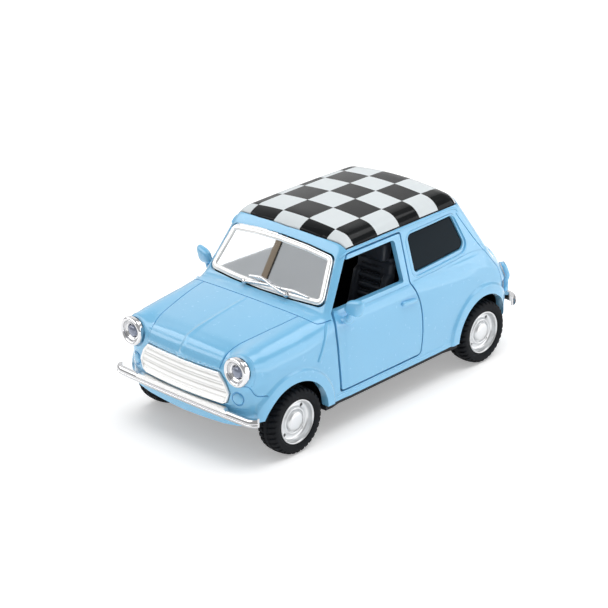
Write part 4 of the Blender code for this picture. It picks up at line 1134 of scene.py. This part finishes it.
def make_tyre(label, side, v):
    """A tyre with a smooth sidewall, notched shoulders and slanted tread blocks."""
    wall = [(-2.45, 5.25), (-2.6, 5.5), (-2.7, 5.9), (-2.75, 6.4), (-2.72, 6.8), (-2.6, 7.15)]
    tread = [(along, TYRE_RADIUS - 0.05 * along ** 2 - 0.1 * above(abs(along) - 1.8) ** 2)
             for along in np.linspace(-2.35, 2.35, 33)]
    wall_out = [(-along, r) for along, r in reversed(wall)]
    profile = wall + [(-2.5, 7.32)] + tread + [(2.5, 7.32)] + wall_out
    steps = 20 * TREAD_BLOCKS
    points = []
    for angle in round_turn(steps):
        for along, r in profile:
            slant = angle * TREAD_BLOCKS / tau + 0.2 * abs(along) * (1 if along > 0 else -1)
            phase = slant % 1.0 - 0.5
            notch = ramp((0.2 - abs(phase)) / 0.06) * ramp((r - 7.1) / 0.1)
            ring = ramp((0.2 - abs(abs(along) - 0.75)) / 0.08)
            depth = 0.34 * max(notch * ramp((abs(along) - 0.3) / 0.2), ring)
            reach = r - depth
            points.append(wheel_frame(side, v)(reach * cos(angle), reach * sin(angle), along))
    faces = ring_faces(steps, len(profile), closed=True)
    return mesh_object(f"tyre_{label}_rubber", points, faces, RUBBER, 30)


def make_rim(label, side, v):
    """A silver wheel: rolled lip, deep dish with four vents, raised ring and domed hub cap."""
    profile = [(-2.3, 5.15), (2.3, 5.2), (2.5, 5.12), (2.55, 4.98), (2.45, 4.82), (2.2, 4.72),
               (1.55, 4.62), (1.2, 4.5), (1.05, 4.3), (0.98, 3.9), (1.0, 3.5), (1.1, 3.3),
               (1.4, 3.18), (1.62, 3.08), (1.7, 2.92), (1.66, 2.76), (1.5, 2.66), (1.25, 2.58),
               (1.2, 2.46), (1.35, 2.36), (1.75, 2.28), (2.0, 2.1), (2.16, 1.75), (2.26, 1.2),
               (2.31, 0.6), (2.33, 0.0), (0.7, 0.0), (0.7, 1.35), (-2.0, 1.35), (-2.0, 2.2),
               (0.1, 2.3), (0.3, 4.2), (-2.3, 4.6)]
    rim = turned(f"rim_{label}_silver", profile, 96, wheel_frame(side, v), SILVER, angle=45)
    for k in range(4):
        turn = tau * k / 4 + pi / 4
        vent = circle(0.42, 16, (v + 3.85 * cos(turn), AXLE_Z + 3.85 * sin(turn)))
        cut(rim, prism("vent", vent, (side * (WHEEL_X - 1.0), side * (WHEEL_X + 2.0)), across))
    return rim


# ---------------------------------------------------------------- door mirrors and handles

def ovoid(name, radii, power, place_at):
    """A closed egg: radii along x, v and z, flattened sides for a power under one."""
    rows, columns = 25, 40
    points = []
    for lift in (pi * i / (rows - 1) for i in range(rows)):
        for turn in round_turn(columns):
            x = radii[0] * copysign(abs(cos(turn)) ** power, cos(turn)) * sin(lift) ** power
            z = radii[2] * copysign(abs(sin(turn)) ** power, sin(turn)) * sin(lift) ** power
            points.append(place_at(x, -radii[1] * cos(lift) * (1.0 if lift < pi / 2 else 0.5), z))
    return mesh_object(name, points, ring_faces(rows, columns, capped=False), PAINT, 60)


MIRROR_HEAD = (23.8, 17.0, 30.0)    # middle of the housing
MIRROR_FOOT = (21.9, 17.4, 26.6)    # middle of the fairing


def make_mirror(label, side):
    """A streamlined housing on a short curved stalk from a fairing on the door."""
    def head_at(x, v, z):
        return (side * (MIRROR_HEAD[0] + x + 0.3 * z), MIRROR_HEAD[1] + v + 0.12 * x,
                MIRROR_HEAD[2] + z * (1 + 0.08 * x))

    def fairing_at(x, v, z):
        return (side * (MIRROR_FOOT[0] + x - 0.35 * z), MIRROR_FOOT[1] + v, MIRROR_FOOT[2] + z)
    shell = ovoid(f"{label}_door_mirror_moulded", (2.35, 1.4, 1.95), 0.66, head_at)
    cut(shell, ovoid("fairing", (0.7, 2.0, 1.0), 1.0, fairing_at), "UNION")
    route = spline([(21.2, 16.6, 26.5), (21.8, 16.6, 26.8), (22.5, 16.7, 27.7), (23.2, 17.0, 29.3)], 6)
    radii = np.interp(np.linspace(0, 1, len(route)), [0, 0.15, 0.4, 1.0], [1.2, 1.0, 0.65, 0.75])
    rings = []
    for (x, v, z), radius in zip(route, radii):
        rings += [(side * (x + radius * 0.75 * cos(t)), v + radius * sin(t), z - radius * 0.65 * cos(t))
                  for t in round_turn(20)]
    stalk = mesh_object("mirror_stalk", rings, ring_faces(len(route), 20), PAINT, 60)
    return cut(shell, stalk, "UNION")


def make_handle():
    """A tapered grip for the left door."""
    path = [(21.6, 34.8, 24.3), (21.6, 36.5, 24.15), (21.6, 38.2, 24.0), (21.6, 40.0, 23.8)]
    points, side, up = along_skin(path, 0.25)
    share = np.linspace(0, 1, len(points))
    swell = np.sqrt(np.clip(1 - (2 * share - 1) ** 8, 0.05, 1))
    rings = []
    for p, s, u, w in zip(points, side, up, swell):
        rings += [p + s * 0.55 * w * cos(t) + u * (0.28 + 0.5 * w * sin(t)) for t in round_turn(12)]
    return mesh_object("grip", rings, ring_faces(len(points), 12), PAINT, 60)


# ---------------------------------------------------------------- seats

def softened(target, width):
    """The target with its sharp edges rounded."""
    step = target.modifiers.new("Soft", "BEVEL")
    step.width = width * MM
    step.segments = 3
    step.limit_method = "ANGLE"
    step.angle_limit = radians(35)
    apply_modifiers(target)
    target.data.shade_smooth()
    target.data.set_sharp_from_angle(angle=radians(50))
    return target


SEAT_X = 10.2


def make_seat(label, side):
    """A bucket seat: bolsters, a ribbed middle panel and a headrest on two posts."""
    middle = side * SEAT_X
    pieces = []

    def pad(name, outline, x, soft):
        edges = (middle + x[0], middle + x[1])
        pieces.append(softened(prism(name, outline, edges, across, TRIM), soft))
    pad("cushion", [(24.0, 9.2), (34.6, 9.2), (35.4, 13.9), (24.0, 14.6)], (-5.2, 5.2), 0.6)
    back = [(34.3, 10.0), (36.4, 9.6), (40.4, 30.6), (39.4, 31.6), (38.2, 31.2)]
    pad("back", back, (-5.2, 5.2), 0.9)
    for sign in (-1, 1):
        edge = sorted((sign * 3.4, sign * 5.4))
        pad("cushion_bolster", [(23.6, 9.4), (34.8, 9.4), (35.2, 15.4), (24.2, 16.0)], edge, 0.8)
        pad("back_bolster", [(32.6, 14.4), (36.2, 12.0), (39.9, 28.6), (38.9, 29.6), (36.6, 28.2)],
            edge, 0.8)
        post = (sign * 2.2 - 0.35, sign * 2.2 + 0.35)
        pad("headrest_post", [(38.9, 30.5), (39.6, 30.5), (39.8, 33.0), (39.1, 33.0)], post, 0.15)
    for k in range(7):
        z = 16.4 + k * 2.15
        v = 34.45 + (z - 10.0) * 0.187
        for rise, reach, height in ((0.0, 0.62, 0.8), (-1.08, 0.35, 0.16)):
            rib = [(v - 0.4 + reach * cos(t), z + rise + height * sin(t)) for t in round_turn(16)]
            pieces.append(prism("rib", rib, (middle - 3.3, middle + 3.3), across, TRIM))
    headrest = [(37.2, 31.6), (39.9, 31.4), (41.0, 35.2), (40.2, 36.3), (37.9, 35.9)]
    pad("headrest", headrest, (-3.7, 3.7), 1.0)
    pad("bracket", [(38.8, 30.4), (41.6, 30.2), (41.8, 32.2), (39.0, 32.4)], (3.0, 4.6), 0.4)
    return joined(pieces, f"seat_{label}_trim", 50)


# ---------------------------------------------------------------- base

SCREWS = (("front", -7.0, 7.4), ("rear", 72.5, 3.9))     # name, v, height of the head's seat


def make_chassis():
    """The black base: a flange inside the sills and a pan that slopes up under the nose."""
    rim = project(*skin_rays())[::4, 0]
    inward = -skin_normals(rim)
    inward[:, 2] = 0.0
    rim = rim + inward * 0.75
    left = [(x, v) for x, v, z in rim if x > 0.1 and v > -6.0]
    outline = left + [(-x, v) for x, v in reversed(left)]
    base = prism("base_pan", outline, (6.9, SILL_Z - 0.1), upright, BLACK)
    pan = [(-11.4, 8.9), (-2.4, 4.4), (-1.2, 3.6), (74.0, 3.6), (75.4, 5.2), (75.4, 7.4), (-3.5, 7.4),
           (-10.6, 9.9)]
    cut(base, prism("pan", rounded(pan, 0.4, 3), (-13.6, 13.6), across), "UNION")
    tools = []
    for side in (1.0, -1.0):
        for v in ARCH_V:
            well = (v - ARCH_RADIUS + 0.1, v + ARCH_RADIUS - 0.1)
            tools.append(box("well", (side * 14.4, side * 30), well, (0.0, 20.0)))
    tools.append(box("motor_opening", (-7.7, 5.1), (43.2, 68.2), (0.0, 12.0)))
    for _, v, _ in SCREWS:
        tools.append(prism("screw_hole", circle(2.4, 32, (0.0, v)), (0.0, 12.0), upright))
    half = 1.5                  # of an axle slot's width
    for v in (0.0, WHEELBASE):
        slot = [(v - half, 12.0), (v - half, AXLE_Z)]
        slot += [(v + half * cos(t), AXLE_Z + half * sin(t)) for t in np.linspace(-pi, 0, 13)[1:-1]]
        slot += [(v + half, AXLE_Z), (v + half, 12.0)]
        tools.append(prism("axle_slot", slot, (-20.0, 20.0), across))
    for tool in tools:
        cut(base, tool)
    base.name = "chassis_moulding"
    base.data.shade_smooth()
    base.data.set_sharp_from_angle(angle=radians(35))
    return base


def make_base_screw(label, v, head):
    """A pan-head screw with a cross recess, under the base."""
    profile = [(head, 0.0), (head, 1.2), (head + 0.25, 1.75), (head + 0.6, 1.9), (head + 0.95, 1.9),
               (head + 0.95, 0.8), (11.5, 0.8), (12.2, 0.0)]

    def frame_of(a, b, along):
        return (a, v + b, along)
    screw = turned(f"screw_{label}_steel", profile, 32, frame_of, STEEL)
    for wide, deep in ((1.3, 0.28), (0.28, 1.3)):
        cut(screw, box("recess", (-wide, wide), (v - deep, v + deep), (head - 1.0, head + 0.45)))
    return screw


# ---------------------------------------------------------------- build

BLANK = make_blank()
show(make_body(BLANK), "car", "sky_blue_paint", "body_shell")
LEFT_DOOR = make_door(BLANK)
RIGHT_DOOR = polish(mirror_copy(LEFT_DOOR, "right_door_paint"))
show(LEFT_DOOR, "left_door", "sky_blue_paint", "left_door")
show(RIGHT_DOOR, "right_door", "sky_blue_paint", "right_door")
bpy.data.objects.remove(BLANK)
for make, slot_name, node in (
        (make_roof, "chequer_roof", "roof_panel"),
        (make_windscreen_frame, "chrome_plating", "windscreen_frame"),
        (make_windscreen, "mirrored_glass", "windscreen_glass"),
        (make_rear_window, "smoked_glass", "rear_glass"),
        (make_grille, "chrome_plating", "front_grille"),
        (make_front_bumper, "chrome_plating", "front_bumper"),
        (make_rear_bumper, "chrome_plating", "rear_bumper"),
        (make_chassis, "black_plastic", "chassis_base")):
    show(make(), "car", slot_name, node)
for label, v, head in SCREWS:
    show(make_base_screw(label, v, head), "car", "steel", f"base_screw_{label}")
for label, side in SIDES:
    for make, body_name, slot_name, *nodes in (
            (make_quarter_window, "car", "smoked_glass", f"quarter_glass_{label}"),
            (make_wiper, "car", "chrome_plating", f"wiper_{label}"),
            (make_headlight_bezel, "car", "chrome_plating", f"headlight_bezel_{label}"),
            (make_headlight_lens, "car", "clear_lens", f"headlight_lens_{label}"),
            (make_indicator, "car", "sky_blue_paint"),
            (make_tail_lamp, "car", "blue_moulding", f"tail_lamp_{label}"),
            (make_mirror, f"{label}_door", "blue_moulding", f"{label}_door_mirror"),
            (make_seat, "car", "black_plastic", f"seat_{label}")):
        show(make(label, side), body_name, slot_name, *nodes)
    for axle, v in (("front", 0.0), ("rear", WHEELBASE)):
        corner = f"{axle}_{label}"
        show(make_tyre(corner, side, v), f"{axle}_wheels", "tyre_rubber", f"tyre_{corner}")
        show(make_rim(corner, side, v), f"{axle}_wheels", "silver_wheel", f"rim_{corner}")


# ---------------------------------------------------------------- the CAD nodes that stay

CARRIED = {
    BLACK: ("interior_tub", "steering_wheel", "motor_case_left", "motor_case_right"),
    STEEL: ("front_axle", "rear_axle", "idler_shaft"),
    SPRING: ("mainspring",),
    NYLON: ("axle_gear", "idler_gear", "winding_gear"),
}
for finish, names in CARRIED.items():
    for name in names:
        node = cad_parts[name]
        node.data.materials.clear()
        node.data.materials.append(finish)


# ---------------------------------------------------------------- stage, light and camera

def make_floor():
    finish = stage_material("studio_floor", 3.0, (0.955,) * 3, (0.97,) * 3, 0.6, 0.2, 0.33)
    edge = 3000.0
    corners = [(-edge, -edge, 0), (edge, -edge, 0), (edge, edge, 0), (-edge, edge, 0)]
    mesh_object("floor", corners, [(0, 1, 2, 3)], finish)


def area_light(name, location, target, size, power, gloss=True):
    data = bpy.data.lights.new(name, "AREA")
    data.shape = "RECTANGLE"
    data.size, data.size_y = (s * MM for s in size)
    data.energy = power
    lamp = bpy.data.objects.new(name, data)
    start, end = Vector(place(location)), Vector(place(target))
    lamp.location = start
    lamp.rotation_euler = (end - start).to_track_quat("-Z", "Y").to_euler()
    lamp.visible_glossy = gloss
    bpy.context.collection.objects.link(lamp)


def make_light():
    world = bpy.data.worlds.new("studio")
    bpy.context.scene.world = world
    world.use_nodes = True
    background = world.node_tree.nodes["Background"]
    background.inputs["Color"].default_value = (1.0, 1.0, 1.0, 1.0)
    background.inputs["Strength"].default_value = 0.46
    area_light("rear_softbox", (150, 260, 420), (0, 32, 15), (260, 240), 0.42)
    area_light("overhead_fill", (0, 60, 600), (0, 32, 15), (500, 500), 1.75, gloss=False)


CAMERA_TARGET = (-6.42, 31.81, 17.49)
CAMERA_AZIMUTH, CAMERA_HEIGHT, CAMERA_ROLL = radians(44.54), radians(23.31), radians(-1.44)
CAMERA_DISTANCE = 506.7
CAMERA_BACK = np.array([sin(CAMERA_AZIMUTH) * cos(CAMERA_HEIGHT),
                        -cos(CAMERA_AZIMUTH) * cos(CAMERA_HEIGHT), sin(CAMERA_HEIGHT)])
FOCAL_LENGTH = 127.44


def make_camera():
    right = Vector((cos(CAMERA_AZIMUTH), sin(CAMERA_AZIMUTH), 0.0))
    back = Vector(CAMERA_BACK)
    up = back.cross(right)
    x_axis = cos(CAMERA_ROLL) * right + sin(CAMERA_ROLL) * up
    y_axis = -sin(CAMERA_ROLL) * right + cos(CAMERA_ROLL) * up
    data = bpy.data.cameras.new("camera")
    data.lens = FOCAL_LENGTH
    data.sensor_width = 36.0
    data.clip_start = 0.01
    data.clip_end = 20.0
    camera = bpy.data.objects.new("camera", data)
    bpy.context.collection.objects.link(camera)
    place_at = Matrix((x_axis, y_axis, back)).transposed().to_4x4()
    place_at.translation = Vector(place(CAMERA_TARGET)) + back * CAMERA_DISTANCE * MM
    camera.matrix_world = place_at
    bpy.context.scene.camera = camera


def make_cards():
    """Grey and pale cards out of view, for the windscreen, paint and plating to mirror."""
    for name, shade, glow, corners in CARDS:
        finish = stage_material(f"{name}_grey", 5.0, shade, tuple(1.06 * c for c in shade), 0.9, 0.1, glow)
        card = mesh_object(name, corners, [tuple(range(len(corners)))], finish)
        card.visible_shadow = False
        card.visible_diffuse = False
        card.visible_camera = False


def mirrored_from(x, rise, reach):
    """Where the camera's line to a point of the windscreen ends up, at a distance from the screen."""
    z = SCREEN_BASE[1] + rise * SCREEN_RISE
    point = np.array([x, SCREEN_BASE[0] + SCREEN_BOW * x ** 2 + SCREEN_LEAN * (z - SCREEN_BASE[1]), z])
    normal = unit(np.array([2 * SCREEN_BOW * x, -1.0, SCREEN_LEAN]))
    view = unit(point - (np.array(CAMERA_TARGET) + CAMERA_BACK * CAMERA_DISTANCE))
    return tuple(point + reach * (view - 2 * (view @ normal) * normal))


def seen_in_screen(corners, reach=230.0):
    """A card whose mirror image fills an outline on the windscreen."""
    return [mirrored_from(x, rise, reach) for x, rise in corners]


CARDS = [
    ("right_card", (0.30, 0.31, 0.32), 0.11,
     seen_in_screen([(0.9, -1.0), (17.5, -1.0), (17.5, 15.5), (0.9, 15.5)])),
    ("middle_card", (0.24, 0.19, 0.14), 0.0,
     seen_in_screen([(-1.4, -1.0), (0.35, -1.0), (0.35, 15.5), (-1.4, 15.5)])),
    ("left_card", (0.32, 0.33, 0.34), 0.12,
     seen_in_screen([(-1.4, -1.0), (-1.4, 10.8), (-14.4, 2.5), (-19.0, -1.0)])),
    ("streak_card", (0.01, 0.01, 0.01), 0.0,
     seen_in_screen([(-0.1, -1.0), (1.3, -1.0), (1.3, 15.5), (-0.1, 15.5)], 236.0)),
    ("bright_card", (0.90, 0.90, 0.90), 0.6,
     seen_in_screen([(-1.4, -2.0), (-1.4, 17.0), (-20.0, 17.0), (-20.0, -2.0)], 240.0)),
    ("side_card", (0.90, 0.90, 0.90), 1.6,
     [(150, -300, 0.6), (1200, -300, 0.6), (1200, 1200, 0.6), (150, 1200, 0.6)]),
    ("side_wall", (0.90, 0.90, 0.90), 1.2,
     [(950, 0, 1.0), (250, 950, 1.0), (250, 950, 420.0), (950, 0, 420.0)]),
    ("backdrop_card", (0.70, 0.70, 0.70), 0.28,
     [(-560, -40, 90), (-170, 560, 90), (-170, 560, 760), (-560, -40, 760)]),
    ("nose_card", (0.90, 0.90, 0.90), 2.0,
     [(-900, 70, 325), (60, -130, 325), (60, -480, 325), (-900, -540, 325)]),
]

make_floor()
make_light()
make_cards()
make_camera()
bpy.context.scene.view_settings.view_transform = "Standard"

bpy.context.view_layer.update()
